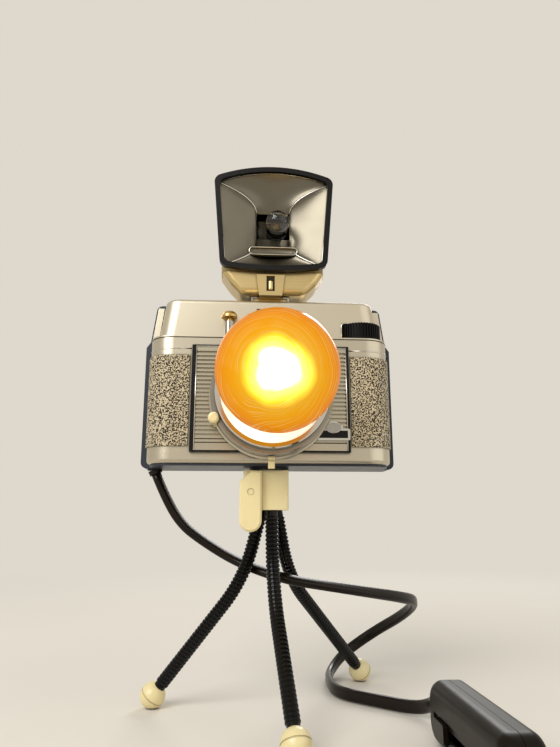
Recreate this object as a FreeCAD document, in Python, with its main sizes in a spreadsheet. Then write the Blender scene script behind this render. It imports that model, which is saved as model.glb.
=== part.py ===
import FreeCAD, Part
import Sketcher
import math
import os
import re

os.makedirs("parts", exist_ok=True)
doc = FreeCAD.newDocument("camera_lamp")
sheet = doc.addObject("Spreadsheet::Sheet", "Sizes")
probe = doc.addObject("App::FeaturePython", "Probe")
probe.addProperty("App::PropertyFloat", "Value")
names = []
nodes = []


def reference(found):
    """The sheet's cell for a size, or the expression in brackets for what follows from sizes."""
    word = found.group(0)
    if word in FOLLOWS:
        return "(" + bound(FOLLOWS[word]) + ")"
    return "Sizes." + word if word in names else word


def bound(text):
    """Turn the plain names in an expression into references to the sheet."""
    return re.sub(r"[a-z][a-z0-9_]*", reference, text)


def number(text):
    """The present value of an expression."""
    probe.setExpression("Value", bound(text))
    probe.recompute()
    return probe.Value


def vector(x, y, z):
    """The present place that three expressions give."""
    return FreeCAD.Vector(number(x), number(y), number(z))


# Driving sizes, in millimetres, degrees or a count, each with what it measures
SIZES = [
    # Tripod and its head
    ("foot_radius", 6.1, "ball foot"),
    ("foot_flat", 0.3, "depth of the flat under each foot"),
    ("foot_seam", 0.35, "radius of the moulding seam round each foot"),
    ("leg_radius", 3.2, "crown of the gooseneck's ribs"),
    ("leg_core", 2.75, "root of the gooseneck's ribs"),
    ("rib_pitch", 1.95, "one rib of the gooseneck"),
    ("leg_end", 5.2, "plain end of a leg inside its foot"),
    ("leg_fit", 0.05, "clearance round a leg's end in its foot"),
    ("leg_straight", 17.6, "straight run of a leg below the head"),
    ("leg_neck", 3.0, "plain neck of a leg below the head"),
    ("socket_gap", 0.35, "clearance round a leg's ball in its socket"),
    ("root_gap", 1.05, "space between two legs at the head"),
    ("root_height", 91.8, "centre of the legs' pivots above the floor"),
    ("root_back", 1.7, "the legs' ring behind the tripod screw"),
    ("root_right", 0.6, "the legs' ring right of the tripod screw"),
    ("left_turn", 160.0, "place of the left leg round the ring, in degrees"),
    ("front_turn", 277.0, "place of the front leg round the ring, in degrees"),
    ("right_turn", 40.0, "place of the right leg round the ring, in degrees"),
    ("left_lean", 15.5, "lean of the left leg at the head, in degrees"),
    ("front_lean", 6.0, "lean of the front leg at the head, in degrees"),
    ("right_lean", 18.0, "lean of the right leg at the head, in degrees"),
    ("left_bend", 71.0, "bend radius of the left leg"),
    ("front_bend", 60.0, "bend radius of the front leg"),
    ("right_bend", 51.0, "bend radius of the right leg"),
    ("left_foot_x", -54.4, "left foot"),
    ("left_foot_y", 32.5, "left foot"),
    ("front_foot_x", 8.2, "front foot"),
    ("front_foot_y", -39.7, "front foot"),
    ("right_foot_x", 54.4, "right foot, behind"),
    ("right_foot_y", 78.9, "right foot, behind"),
    ("head_left", 12.5, "head block, left of the tripod screw"),
    ("head_right", 9.1, "head block, right of the tripod screw"),
    ("head_front", 6.5, "head block, in front of the tripod screw"),
    ("head_back", 9.0, "head block, behind the tripod screw"),
    ("head_tall", 18.6, "head block"),
    ("head_round", 1.4, "rounded edges of the head block"),
    ("lever_wide", 10.4, "clamp lever"),
    ("lever_tall", 28.1, "clamp lever"),
    ("lever_thick", 4.0, "clamp lever"),
    ("lever_gap", 0.3, "space between lever and block"),
    ("lever_left", 14.3, "left edge of the lever from the tripod screw"),
    ("lever_drop", 0.6, "top of the lever below the top of the block"),
    ("lever_bevel", 0.9, "bevel round the lever"),
    ("lever_corner", 5.5, "cut corner at the lever's top"),
    ("lever_cut", 4.95, "cut corner down the lever's side"),
    ("pivot_radius", 1.6, "pin of the lever"),
    ("pivot_drop", 9.8, "pin below the top of the lever"),
    ("pivot_deep", 8.5, "pin of the lever inside the head block"),
    ("pivot_sunk", 0.4, "end of the pin below the lever's face"),
    ("pin_fit", 0.05, "running clearance of pins"),
    ("pad_radius", 9.5, "soft pad between head and camera"),
    ("pad_thick", 1.6, "soft pad between head and camera"),
    ("screw_radius", 3.1, "tripod screw"),
    ("screw_y", 10.0, "tripod screw behind the frame's origin"),
    ("screw_deep", 6.0, "tripod screw inside the head block"),
    ("bush_radius", 5.2, "threaded bush in the base"),
    ("bush_tall", 7.0, "threaded bush in the base"),
    ("bush_flange", 6.8, "flange of the bush"),
    ("bush_roof", 0.8, "closed end of the bush"),
    ("end_gap", 0.2, "space at the end of the tripod screw"),
    ("skin_gap", 0.05, "glue line or touching clearance"),
    # Camera body
    ("casing_wide", 119.0, "front casing"),
    ("casing_deep", 19.4, "front casing"),
    ("casing_tall", 61.6, "front casing"),
    ("casing_wall", 1.6, "front casing"),
    ("casing_edge", 2.0, "rounded lower edge of the front casing"),
    ("corner_round", 12.0, "upright front corners"),
    ("split_y", 17.0, "plane where the front casing meets the rear shell"),
    ("base_thick", 1.0, "base plate"),
    ("base_in", 1.6, "base plate inside the casing"),
    ("ledge_thick", 0.8, "ledge of the top cover"),
    ("cover_tall", 22.4, "top cover above the casing"),
    ("cover_in", 2.9, "foot of the top cover's hood inside the casing's side"),
    ("cover_lean", 3.1, "how far each side of the cover leans in"),
    ("cover_front", 4.6, "front face of the top cover"),
    ("cover_round", 2.2, "upper edges of the top cover"),
    ("cover_corner", 8.0, "upright front corners of the top cover"),
    ("cover_wall", 1.2, "top cover"),
    ("rear_out", 4.0, "how far the rear shell stands out beside the casing"),
    ("rear_deep", 12.0, "rear shell"),
    ("rear_wall", 1.6, "rear shell"),
    ("rear_lift", 0.1, "bottom of the rear shell above the base"),
    ("rear_round", 3.0, "corners of the rear shell"),
    ("rear_rim", 2.0, "front flange of the rear shell"),
    ("shoulder_drop", 0.6, "shoulder of the rear shell below the seam"),
    ("shoulder_step", 2.1, "how far the shoulder steps in"),
    ("shoulder_rise", 3.0, "height of the shoulder's slope"),
    ("rear_lean", 2.7, "how far the rear shell's upper sides lean in"),
    ("door_thick", 1.7, "back door"),
    ("door_gap", 0.3, "space between door and rear shell"),
    ("door_lip", 1.5, "lip behind the door"),
    ("door_notch", 2.0, "top of the cut beside the hinge above the seam"),
    ("knuckle_radius", 1.9, "door hinge"),
    ("knuckle_tall", 12.0, "door hinge"),
    ("hinge_pin", 0.9, "pin of the door hinge"),
    ("hinge_up", 28.0, "centre of the hinge above the seat of the camera"),
    ("bore_half", 40.0, "half length of the hinge's bore"),
    ("stile_tall", 52.0, "fixed strip beside the door"),
    ("latch_wide", 5.0, "door latch"),
    ("latch_tall", 12.0, "door latch"),
    ("latch_thick", 2.0, "door latch"),
    ("latch_travel", 4.0, "door latch"),
    ("latch_neck", 2.0, "neck of the door latch"),
    ("latch_hook", 1.0, "hook of the latch inside the door"),
    ("latch_grip", 4.0, "half height of the latch's hook"),
    ("latch_corner", 0.67, "corners of the door latch"),
    ("latch_in", 9.0, "latch from the door's edge"),
    # Coverings and plates on the front
    ("grip_thick", 0.7, "leathercloth on the front"),
    ("grip_up", 8.0, "lower edge of the leathercloth above the base plate"),
    ("grip_tall", 44.3, "leathercloth"),
    ("groove_left", 1.5, "groove between the ribbed plate and the left leathercloth"),
    ("groove_right", 1.3, "groove between the ribbed plate and the right leathercloth"),
    ("grip_side", 12.0, "how far the leathercloth goes round the side"),
    ("plate_half", 37.7, "half width of the ribbed plate"),
    ("plate_up", 5.7, "lower edge of the ribbed plate above the base plate"),
    ("plate_tall", 50.7, "ribbed plate"),
    ("plate_thick", 1.4, "sheet of the ribbed plate"),
    ("plate_rib", 1.2, "height of the plate's ribs"),
    ("plate_pitch", 2.0, "spacing of the plate's ribs"),
    ("plate_ribs", 20, "count of the plate's ribs"),
    ("plate_bar", 3.6, "lowest plain bar of the plate"),
    ("plate_step", 1.7, "thin plain bars of the plate"),
    ("plate_edge", 2.6, "top bar of the plate"),
    ("bar_gap", 0.3, "gap between the plain bars"),
    ("badge_left", 21.7, "bare badge plate"),
    ("badge_wide", 15.9, "bare badge plate"),
    ("badge_tall", 5.6, "bare badge plate"),
    ("badge_up", 10.7, "bare badge plate above the base plate"),
    ("badge_thick", 1.5, "bare badge plate"),
    ("badge_corner", 0.93, "corners of the badge plate"),
    ("badge_shield", 1.4, "middle of the badge plate above its upper edge"),
    ("badge_oval_wide", 9.0, "oval on the badge plate"),
    ("badge_oval_tall", 7.0, "oval on the badge plate"),
    # Lens rings, lampholder and bulb
    ("lens_up", 31.8, "lens axis above the seat of the camera"),
    ("flange_brim", 1.0, "flange of the lens beyond the barrel"),
    ("flange_thick", 3.0, "flange of the lens"),
    ("flange_bevel", 0.8, "flange of the lens"),
    ("barrel_radius", 28.4, "lens barrel"),
    ("barrel_deep", 9.0, "lens barrel"),
    ("barrel_wall", 4.3, "lens barrel"),
    ("barrel_groove", 0.8, "dark groove round the barrel"),
    ("groove_front", 3.15, "start of the barrel's groove"),
    ("groove_slope", 0.45, "slope at each side of the barrel's groove"),
    ("groove_wide", 1.35, "floor of the barrel's groove"),
    ("barrel_bevel", 0.6, "lens barrel"),
    ("lip_in", 2.3, "bright lip ring inside the barrel's edge"),
    ("lip_deep", 7.1, "bright lip ring"),
    ("lip_wall", 2.2, "bright lip ring"),
    ("lip_bevel", 0.5, "bright lip ring"),
    ("cone_fit", 0.7, "white cone round the lampholder"),
    ("cone_set", 2.0, "rim of the cone behind the lip"),
    ("cone_deep", 12.0, "white cone"),
    ("cone_wall", 0.8, "white cone"),
    ("cone_gap", 0.3, "space round the white cone in the barrel"),
    ("cone_seat", 0.5, "straight part of the white cone in the barrel"),
    ("holder_radius", 12.9, "lampholder"),
    ("holder_front", 23.0, "front of the lampholder before the plate"),
    ("holder_back", 8.0, "back of the lampholder behind the plate"),
    ("holder_wall", 3.0, "back wall of the lampholder"),
    ("holder_bevel", 1.0, "front edge of the lampholder"),
    ("holder_room", 2.0, "space round the lampholder in the casing and plate"),
    ("boss_long", 4.0, "boss behind the lampholder"),
    ("boss_wall", 2.0, "boss behind the lampholder"),
    ("holder_floor", 0.8, "floor of the lampholder behind the contact"),
    ("sleeve_wall", 0.6, "brass sleeve"),
    ("sleeve_set", 0.6, "ends of the brass sleeve inside the lampholder"),
    ("contact_thick", 0.65, "centre contact of the lampholder"),
    ("contact_rim", 1.0, "centre contact beyond the bulb's contact"),
    ("cap_radius", 6.95, "bulb cap"),
    ("cap_deep", 21.0, "bulb cap"),
    ("cap_slope", 2.0, "drawn-in end of the bulb cap"),
    ("cap_in", 1.5, "drawn-in end of the bulb cap"),
    ("cap_gap", 0.1, "space round the bulb cap"),
    ("pip_radius", 2.3, "contact at the end of the bulb"),
    ("pip_deep", 2.5, "contact at the end of the bulb"),
    ("pip_flat", 1.38, "tip of the contact at the end of the bulb"),
    ("pip_round", 0.8, "tip of the contact at the end of the bulb"),
    ("neck_radius", 12.0, "neck of the globe"),
    ("neck_back", 25.0, "back end of the neck before the plate"),
    ("neck_long", 5.5, "straight part of the globe's neck"),
    ("flare_long", 4.0, "flare from the neck to the globe"),
    ("neck_floor", 1.15, "closed back end of the neck"),
    ("globe_radius", 24.6, "globe"),
    ("globe_wall", 1.1, "globe"),
    ("globe_front", 55.5, "centre of the globe before the plate"),
    ("core_radius", 9.5, "lit core"),
    ("core_back", 10.5, "centre of the core behind the globe's centre"),
    ("stem_radius", 3.0, "stem of the core"),
    ("lever_hug", 0.35, "clearance of the ring levers round the barrel"),
    ("hug_thick", 1.6, "band of the ring levers"),
    ("hug_front", 0.6, "band of the shutter lever before the barrel"),
    ("hug_back", 1.2, "band of the shutter lever before the flange"),
    ("knob_radius", 2.6, "round knob of the shutter lever"),
    ("knob_dome", 1.2, "rounded front of the knob"),
    ("knob_deep", 3.6, "knob of the shutter lever"),
    ("knob_gap", 0.3, "space between the knob and the barrel"),
    ("knob_angle", 204.5, "place of the shutter lever, in degrees"),
    ("tab_wide", 3.0, "tab of the aperture lever"),
    ("tab_angle", 270.0, "place of the aperture lever, in degrees"),
    ("tab_tall", 3.6, "tab of the aperture lever"),
    ("tab_root", 0.2, "root of the tab above the inside of its band"),
    ("tab_front", 3.6, "tab behind the front of the barrel"),
    ("tab_deep", 2.7, "tab of the aperture lever"),
    ("tab_band", 2.7, "band of the aperture lever behind the front of the barrel"),
    ("tab_hug", 4.5, "band of the aperture lever"),
    # Top of the camera
    ("post_x", -20.6, "shutter release"),
    ("post_y", 0.3, "shutter release"),
    ("post_radius", 2.4, "shutter release"),
    ("post_tall", 8.0, "shutter release"),
    ("stem_fit", 0.08, "running clearance of the release stem"),
    ("button_stem", 1.4, "shutter release"),
    ("button_radius", 4.0, "shutter release"),
    ("button_tall", 3.4, "shutter release"),
    ("button_edge", 1.19, "upright edge of the button"),
    ("button_slope", 1.0, "slope of the button"),
    ("button_crown", 0.68, "crown of the button"),
    ("button_flat", 1.4, "flat on the button's crown"),
    ("button_travel", 1.8, "shutter release"),
    ("button_gap", 0.3, "space left under the button when it is pressed"),
    ("wheel_in", 10.0, "centre of the advance wheel inside the hood's side"),
    ("wheel_y", 9.8, "film advance wheel"),
    ("wheel_radius", 10.6, "film advance wheel"),
    ("wheel_tall", 8.6, "film advance wheel"),
    ("wheel_ribs", 44, "ribs round the wheel"),
    ("wheel_rib", 0.7, "depth of the wheel's grooves"),
    ("wheel_gap", 0.4, "space under the wheel"),
    ("wheel_flange", 1.0, "plain flange under the wheel's ribs"),
    ("axle_radius", 2.0, "axle of the wheel"),
    ("slot_wide", 20.1, "window of the wheel, from the hood's side"),
    ("slot_tall", 10.0, "window of the wheel"),
    ("finder_left", 7.0, "finder window"),
    ("finder_right", 8.6, "finder window"),
    ("finder_low", 5.4, "finder window above the seam"),
    ("finder_tall", 12.2, "finder window"),
    ("finder_gap", 0.1, "space round the finder window"),
    ("finder_set", 0.3, "finder window behind the front of the cover"),
    ("eyepiece_radius", 4.5, "finder eyepiece"),
    ("eyepiece_wall", 1.2, "finder eyepiece"),
    ("eyepiece_out", 0.8, "finder eyepiece behind the door"),
    ("eyepiece_in", 1.0, "finder eyepiece inside the door"),
    ("shoe_half", 9.9, "accessory shoe"),
    ("shoe_front", 8.0, "accessory shoe"),
    ("shoe_deep", 20.0, "accessory shoe, to just before the rear shell"),
    ("shoe_base", 0.5, "accessory shoe"),
    ("shoe_wall", 1.0, "accessory shoe"),
    ("shoe_lip", 2.6, "lips of the accessory shoe"),
    ("foot_thick", 1.2, "foot of the flash"),
    ("foot_gap", 0.2, "space round the foot of the flash"),
    ("foot_back", 0.5, "front of the flash's foot behind the front of the shoe"),
    ("foot_short", 2.0, "back of the flash's foot before the back of the shoe"),
    # Flash head
    ("flash_x", 1.5, "centre of the flash head"),
    ("flash_up", 14.7, "lowest point of the rim above the top cover"),
    ("flash_tall", 59.1, "rim of the flash head"),
    ("flash_top", 64.4, "width of the rim at its upper corners"),
    ("flash_low", 54.9, "width of the rim at its lower corners"),
    ("top_arc", 81.0, "radius of the rim's top"),
    ("low_arc", 165.0, "radius of the rim's bottom"),
    ("rim_corner", 4.5, "corners of the rim"),
    ("rim_wide", 2.7, "rim of the flash head"),
    ("rim_deep", 3.0, "rim of the flash head"),
    ("bowl_deep", 9.5, "reflector bowl behind the rim"),
    ("bowl_wall", 0.8, "reflector bowl"),
    ("bowl_tuck", 0.6, "mouth of the bowl under the rim"),
    ("bowl_knee", 0.62, "depth of the bend in the bowl, as a share"),
    ("bowl_waist", 0.42, "width at the bend in the bowl, as a share"),
    ("hole_bulge", 0.6, "bulge of the hole's top and bottom"),
    ("hole_half", 9.0, "half width of the hole in the bowl"),
    ("hole_up", 18.2, "lower edge of the hole above the rim's lowest point"),
    ("hole_tall", 20.0, "hole in the bowl"),
    ("housing_front", 3.5, "front of the flash housing"),
    ("housing_back", 21.0, "back of the flash housing"),
    ("housing_top", 27.1, "half width of the housing under the rim"),
    ("housing_low", 16.5, "half width of the housing's bottom"),
    ("housing_up", 3.4, "bottom of the housing above the top cover"),
    ("housing_round", 6.0, "lower corners of the housing"),
    ("housing_bend", 10.0, "rounding of the bend in the housing's side"),
    ("housing_edge", 3.0, "front edges of the housing"),
    ("housing_rise", 34.0, "top of the housing above its bottom"),
    ("housing_wall", 1.5, "flash housing"),
    ("housing_side", 3.0, "side walls of the flash housing"),
    ("housing_lip", 1.4, "full width of the housing above the rim's lowest point"),
    ("housing_knee", 5.6, "bend in the housing's side above its bottom"),
    ("housing_in", 5.0, "bend in the housing's side from its full width"),
    ("housing_roof", 1.3, "roof of the housing's hollow below the rim"),
    ("housing_gap", 0.5, "space between the bowl and the housing"),
    ("rim_gap", 0.2, "housing's ledge above the rim's lowest point"),
    ("bracket_top", 7.3, "half width of the bracket's top"),
    ("bracket_low", 5.9, "half width of the bracket's foot"),
    ("bracket_rise", 11.4, "bracket above the housing's bottom"),
    ("bracket_thick", 1.0, "bracket"),
    ("bracket_slot", 2.2, "half width of the bracket's slot"),
    ("slot_rise", 2.4, "lower edge of the bracket's slot above its foot"),
    ("slot_high", 8.2, "bracket's slot"),
    ("bulb_radius", 6.3, "flash bulb"),
    ("bulb_long", 16.0, "flash bulb"),
    ("bulb_base", 4.2, "base of the flash bulb"),
    ("bulb_waist", 5.86, "straight part of the flash bulb"),
    ("bulb_slope", 2.0, "drawn-in end of the flash bulb"),
    ("base_long", 5.4, "base of the flash bulb"),
    ("bulb_right", 2.1, "flash bulb right of the head's centre"),
    ("socket_wall", 1.4, "socket of the flash bulb"),
    ("socket_deep", 7.0, "socket of the flash bulb"),
    ("socket_floor", 1.0, "socket of the flash bulb"),
    # Lead, dimmer and plug
    ("lead_diameter", 6.0, "mains lead"),
    ("arc_share", 0.45, "share of the shorter run that each arc of a lead takes"),
    ("gland_in", 6.6, "gland from the side of the rear shell"),
    ("gland_back", 5.0, "gland behind the split"),
    ("gland_radius", 3.7, "flange of the gland"),
    ("gland_stem", 3.4, "stem of the gland"),
    ("gland_thick", 0.8, "flange of the gland"),
    ("gland_rise", 5.0, "stem of the gland above its flange"),
    ("gland_nose", 1.8, "nose of the gland round the lead"),
    ("nose_root", 3.4, "nose of the gland"),
    ("nose_tip", 3.15, "nose of the gland"),
    ("gland_lead", 8.5, "first run of the lead below the gland"),
    ("gland_tilt", 23.0, "tilt of the lead where it leaves the gland, in degrees"),
    ("relief_long", 20.0, "strain reliefs of dimmer and plug"),
    ("relief_root", 4.1, "radius of a strain relief at its root"),
    ("relief_tip", 3.5, "radius of a strain relief at its tip"),
    ("inner_diameter", 3.6, "lead inside the camera"),
    ("dimmer_left", 64.2, "dimmer"),
    ("dimmer_thick", 14.6, "dimmer"),
    ("dimmer_tall", 24.0, "dimmer, standing on its long edge"),
    ("dimmer_far", -19.0, "far end of the dimmer"),
    ("dimmer_long", 80.0, "dimmer"),
    ("dimmer_round", 8.5, "corners of the dimmer seen from the side"),
    ("dimmer_edge", 5.2, "rounding round the slider face of the dimmer"),
    ("dimmer_far_edge", 3.4, "rounding round the plain face of the dimmer"),
    ("dimmer_seam", 0.2, "space between the dimmer's halves"),
    ("dimmer_wall", 2.2, "dimmer"),
    ("dimmer_end", 5.2, "end walls of the dimmer"),
    ("dimmer_rail", 3.2, "long walls of the dimmer"),
    ("recess_deep", 0.9, "recess round the slider"),
    ("recess_end", 3.0, "recess beyond the slider's track"),
    ("recess_side", 1.0, "recess beside the slider"),
    ("slider_long", 12.0, "slider of the dimmer"),
    ("slider_tall", 7.0, "slider of the dimmer"),
    ("slider_out", 2.2, "slider of the dimmer"),
    ("slider_track", 34.0, "track of the slider"),
    ("slider_neck", 1.6, "neck of the slider"),
    ("slider_edge", 1.0, "corners of the slider"),
    ("slider_lift", 0.2, "slider above the floor of its recess"),
    ("slider_hook", 1.5, "neck of the slider behind the wall"),
    ("track_start", 12.0, "track from the far end of the dimmer"),
    ("track_drop", 3.5, "track of the slider below the dimmer's middle"),
    ("coil_middle", 34.5, "radius of the middle turn"),
    ("coil_pitch", 6.7, "step from turn to turn"),
    ("coil_layer", 6.6, "step from layer to layer"),
    ("coil_turns", 3, "turns in each of two layers"),
    ("coil_lift", 0.2, "lowest turn above the floor"),
    ("coil_y", -154.0, "centre of the coil"),
    ("plug_long", 34.0, "plug body"),
    ("plug_wide", 35.0, "plug body"),
    ("plug_thick", 14.0, "plug body"),
    ("plug_round", 4.0, "corners of the plug body"),
    ("prong_radius", 2.0, "plug pins"),
    ("prong_long", 19.0, "plug pins"),
    ("prong_space", 19.0, "spacing of the plug pins"),
    ("plug_y", -226.0, "axis of the plug"),
    ("plug_x", 19.4, "cord end of the plug body"),
    ("prong_set", 8.0, "plug pins inside the plug body"),
    ("prong_sleeve", 1.8, "radius of the covered part of the plug pins"),
    ("prong_cover", 10.0, "covered part of the plug pins, outside the plug body"),
    ("over", 1.0, "how far a cutting shape reaches past a face"),
]
for row, (name, value, note) in enumerate(SIZES, 1):
    sheet.set("A%d" % row, name)
    sheet.set("B%d" % row, str(value))
    sheet.set("C%d" % row, note)
    sheet.setAlias("B%d" % row, name)
    names.append(name)
doc.recompute()

# Sizes and places that follow from the driving sizes
FOLLOWS = {
    # Levels and faces that several pieces share
    "head_top": "root_height + head_tall",
    "seat_z": "head_top + pad_thick",
    "casing_z": "seat_z + base_thick",
    "seam_z": "casing_z + casing_tall",
    "ledge_z": "seam_z + ledge_thick",
    "top_z": "seam_z + cover_tall",
    "front_y": "split_y - casing_deep",
    "plate_y": "front_y - plate_thick - plate_rib",
    "rear_y": "split_y + rear_deep",
    "rear_wide": "casing_wide + 2 * rear_out",
    # Clamp lever
    "lever_top": "head_top - lever_drop",
    "lever_y": "screw_y - head_front - lever_gap - lever_thick",
    "pivot_x": "lever_wide / 2 - lever_left",
    "pivot_z": "lever_top - pivot_drop",
    # Plates on the front
    "first_rib": "plate_bar + 2 * plate_step + 3 * bar_gap",
    "badge_x": "badge_left + badge_wide / 2",
    "badge_z": "casing_z + badge_up",
    # Top cover, advance wheel and release
    "cover_half": "casing_wide / 2 - cover_in",
    "hood_tall": "cover_tall - ledge_thick",
    "wheel_x": "cover_half - wheel_in",
    "half_groove": "wheel_radius * 3.1416 / wheel_ribs / 2",
    "button_z": "ledge_z + post_tall + button_travel + button_gap",
    # Lens rings and lampholder
    "lens_z": "seat_z + lens_up",
    "flange_radius": "barrel_radius + flange_brim",
    "barrel_front": "flange_thick + barrel_deep",
    "barrel_y": "plate_y - flange_thick - barrel_deep",
    "hug_inner": "barrel_radius + lever_hug",
    "hug_outer": "barrel_radius + lever_hug + hug_thick",
    "lip_radius": "barrel_radius - lip_in",
    "lip_front": "flange_thick + barrel_deep + lip_deep",
    "cone_rim": "lip_front - cone_set",
    "cone_rear": "lip_front - cone_set - cone_deep",
    "cone_waist": "barrel_radius - barrel_wall - cone_gap",
    "cone_mouth": "lip_radius - lip_wall - skin_gap * 2",
    "sleeve_inner": "cap_radius + cap_gap",
    "sleeve_outer": "cap_radius + cap_gap + sleeve_wall",
    "sleeve_back": "neck_back - cap_deep - pip_deep",
    # Bulb
    "cap_rear": "neck_back - cap_deep",
    "neck_y": "plate_y - neck_back",
    "neck_end": "neck_y - skin_gap",
    "blend_y": "neck_y - neck_long",
    "flare_y": "blend_y - flare_long",
    "globe_y": "plate_y - globe_front",
    "core_y": "globe_y + core_back",
    # Accessory shoe and flash head
    "shoe_z": "top_z + shoe_base",
    "rail_top": "shoe_z + foot_gap * 2 + foot_thick + shoe_wall",
    "foot_half": "shoe_half - shoe_wall - foot_gap",
    "neck_half": "shoe_half - shoe_wall - shoe_lip - foot_gap",
    "foot_z0": "shoe_z + foot_gap",
    "housing_z": "top_z + housing_up",
    "slot_low": "foot_z0 + foot_thick + slot_rise",
    "rim_low": "top_z + flash_up",
    "bulb_x": "flash_x + bulb_right",
    "bulb_y": "socket_y - bulb_long + bulb_radius",
    "bulb_z": "rim_low + hole_up + hole_tall / 2",
    "socket_y": "rim_deep + bowl_deep + skin_gap",
    "socket_radius": "bulb_base + socket_wall",
    # Rear shell, hinge, latch and eyepiece
    "pin_x": "rear_wide / 2 - knuckle_radius",
    "door_back": "rear_y + door_gap + door_thick",
    "hinge_z": "seat_z + hinge_up",
    "latch_x": "latch_in - rear_wide / 2",
    "eye_x": "(finder_right - finder_left) / 2",
    "eye_z": "seam_z + finder_low + finder_tall / 2",
    # Gland, dimmer and plug
    "gland_x": "gland_in - rear_wide / 2",
    "gland_y": "split_y + gland_back",
    "gland_low": "seat_z + rear_lift - gland_thick",
    "gland_top": "seat_z + rear_lift",
    "dimmer_mid": "dimmer_left + dimmer_thick / 2",
    "dimmer_right": "dimmer_left + dimmer_thick",
    "dimmer_z": "dimmer_tall / 2",
    "track_z": "dimmer_tall / 2 - track_drop",
    "near_y": "dimmer_far - dimmer_long",
    "slider_mid": "dimmer_far - track_start - slider_long / 2 - door_gap",
    "plug_z": "plug_thick / 2",
    "plug_face": "plug_x - plug_long",
    "prong_end": "plug_face - prong_long + prong_radius",
}


# Helpers: places, primitives and booleans
def place(item, x="0", y="0", z="0"):
    """Bind a piece's place to expressions."""
    for axis, text in (("x", x), ("y", y), ("z", z)):
        item.setExpression("Placement.Base." + axis, bound(text))
    return item


def node(item, label):
    """Name a finished sub-part."""
    item.Label = label
    nodes.append(item)
    return item


def block(x, y, z):
    """A box between two expressions along each axis."""
    item = doc.addObject("Part::Box", "Block")
    for side, (low, high) in (("Length", x), ("Width", y), ("Height", z)):
        item.setExpression(side, bound(f"{high} - ({low})"))
    return place(item, x[0], y[0], z[0])


TURN = {"x": FreeCAD.Rotation(FreeCAD.Vector(0, 1, 0), 90),
        "y": FreeCAD.Rotation(FreeCAD.Vector(1, 0, 0), -90),
        "z": FreeCAD.Rotation()}


def rod(axis, x, y, z, radius, low, high):
    """A cylinder along an axis; low and high replace the coordinate on that axis."""
    item = doc.addObject("Part::Cylinder", "Rod")
    item.Placement.Rotation = TURN[axis]
    item.setExpression("Radius", bound(radius))
    item.setExpression("Height", bound(f"{high} - ({low})"))
    start = {"x": x, "y": y, "z": z}
    start[axis] = low
    return place(item, **start)


def taper(axis, x, y, z, first, last, low, high):
    """A cone along an axis, from radius first at low to radius last at high."""
    item = doc.addObject("Part::Cone", "Taper")
    item.Placement.Rotation = TURN[axis]
    item.setExpression("Radius1", bound(first))
    item.setExpression("Radius2", bound(last))
    item.setExpression("Height", bound(f"{high} - ({low})"))
    start = {"x": x, "y": y, "z": z}
    start[axis] = low
    return place(item, **start)


def ball(x, y, z, radius):
    item = doc.addObject("Part::Sphere", "Ball")
    item.setExpression("Radius", bound(radius))
    return place(item, x, y, z)


def fuse(*items):
    item = doc.addObject("Part::MultiFuse", "Fuse")
    item.Shapes = list(items)
    item.Refine = True
    return item


def common(*items):
    item = doc.addObject("Part::MultiCommon", "Common")
    item.Shapes = list(items)
    return item


def cut(base, *tools):
    item = doc.addObject("Part::Cut", "Cut")
    item.Base = base
    item.Tool = tools[0] if len(tools) == 1 else fuse(*tools)
    return item


# Helpers: sketched bodies
def sketch(body, role, offset="0"):
    """A sketch on one of the body's own planes, moved along its normal."""
    item = body.newObject("Sketcher::SketchObject", "Sketch")
    plane = [part for part in body.Origin.OriginFeatures if part.Role == role][0]
    item.AttachmentSupport = (plane, [""])
    item.MapMode = "FlatFace"
    item.setExpression("AttachmentOffset.Base.z", bound(offset))
    return item


def outline(item, points):
    """A closed outline whose every corner is held by two bound distances."""
    start = item.GeometryCount
    spots = [FreeCAD.Vector(number(across), number(up), 0) for across, up in points]
    count = len(points)
    for index in range(count):
        item.addGeometry(Part.LineSegment(spots[index], spots[(index + 1) % count]), False)
    for index in range(count):
        after = start + (index + 1) % count
        item.addConstraint(Sketcher.Constraint("Coincident", start + index, 2, after, 1))
    for index, (across, up) in enumerate(points):
        for kind, text, value in (("DistanceX", across, spots[index].x), ("DistanceY", up, spots[index].y)):
            made = item.addConstraint(Sketcher.Constraint(kind, -1, 1, start + index, 1, value))
            item.setExpression("Constraints[%d]" % made, bound(text))


def ring(item, across, up, radius):
    """A circle with its centre and radius bound."""
    centre = FreeCAD.Vector(number(across), number(up), 0)
    made = item.addGeometry(Part.Circle(centre, FreeCAD.Vector(0, 0, 1), number(radius)), False)
    for kind, text, value in (("DistanceX", across, centre.x), ("DistanceY", up, centre.y)):
        held = item.addConstraint(Sketcher.Constraint(kind, -1, 1, made, 3, value))
        item.setExpression("Constraints[%d]" % held, bound(text))
    held = item.addConstraint(Sketcher.Constraint("Radius", made, number(radius)))
    item.setExpression("Constraints[%d]" % held, bound(radius))


def pad(body, profile, length, reverse=False):
    item = body.newObject("PartDesign::Pad", "Pad")
    item.Profile = profile
    item.setExpression("Length", bound(length))
    item.Reversed = reverse
    return item


def pocket(body, profile, length, reverse=False):
    item = body.newObject("PartDesign::Pocket", "Pocket")
    item.Profile = profile
    item.setExpression("Length", bound(length))
    item.Reversed = reverse
    return item


def soften(body, base, radius, chosen, kind="Fillet"):
    """Fillet or chamfer the edges of a feature that a test picks."""
    doc.recompute()
    edges = ["Edge%d" % (index + 1) for index, edge in enumerate(base.Shape.Edges) if chosen(edge)]
    item = body.newObject("PartDesign::" + kind, kind)
    item.Base = (base, edges)
    item.setExpression("Radius" if kind == "Fillet" else "Size", bound(radius))
    return item


def along(edge, axis):
    """Whether a straight edge runs along an axis."""
    if not isinstance(edge.Curve, Part.Line):
        return False
    return abs(getattr(edge.tangentAt(edge.FirstParameter), axis)) > 0.999


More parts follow.
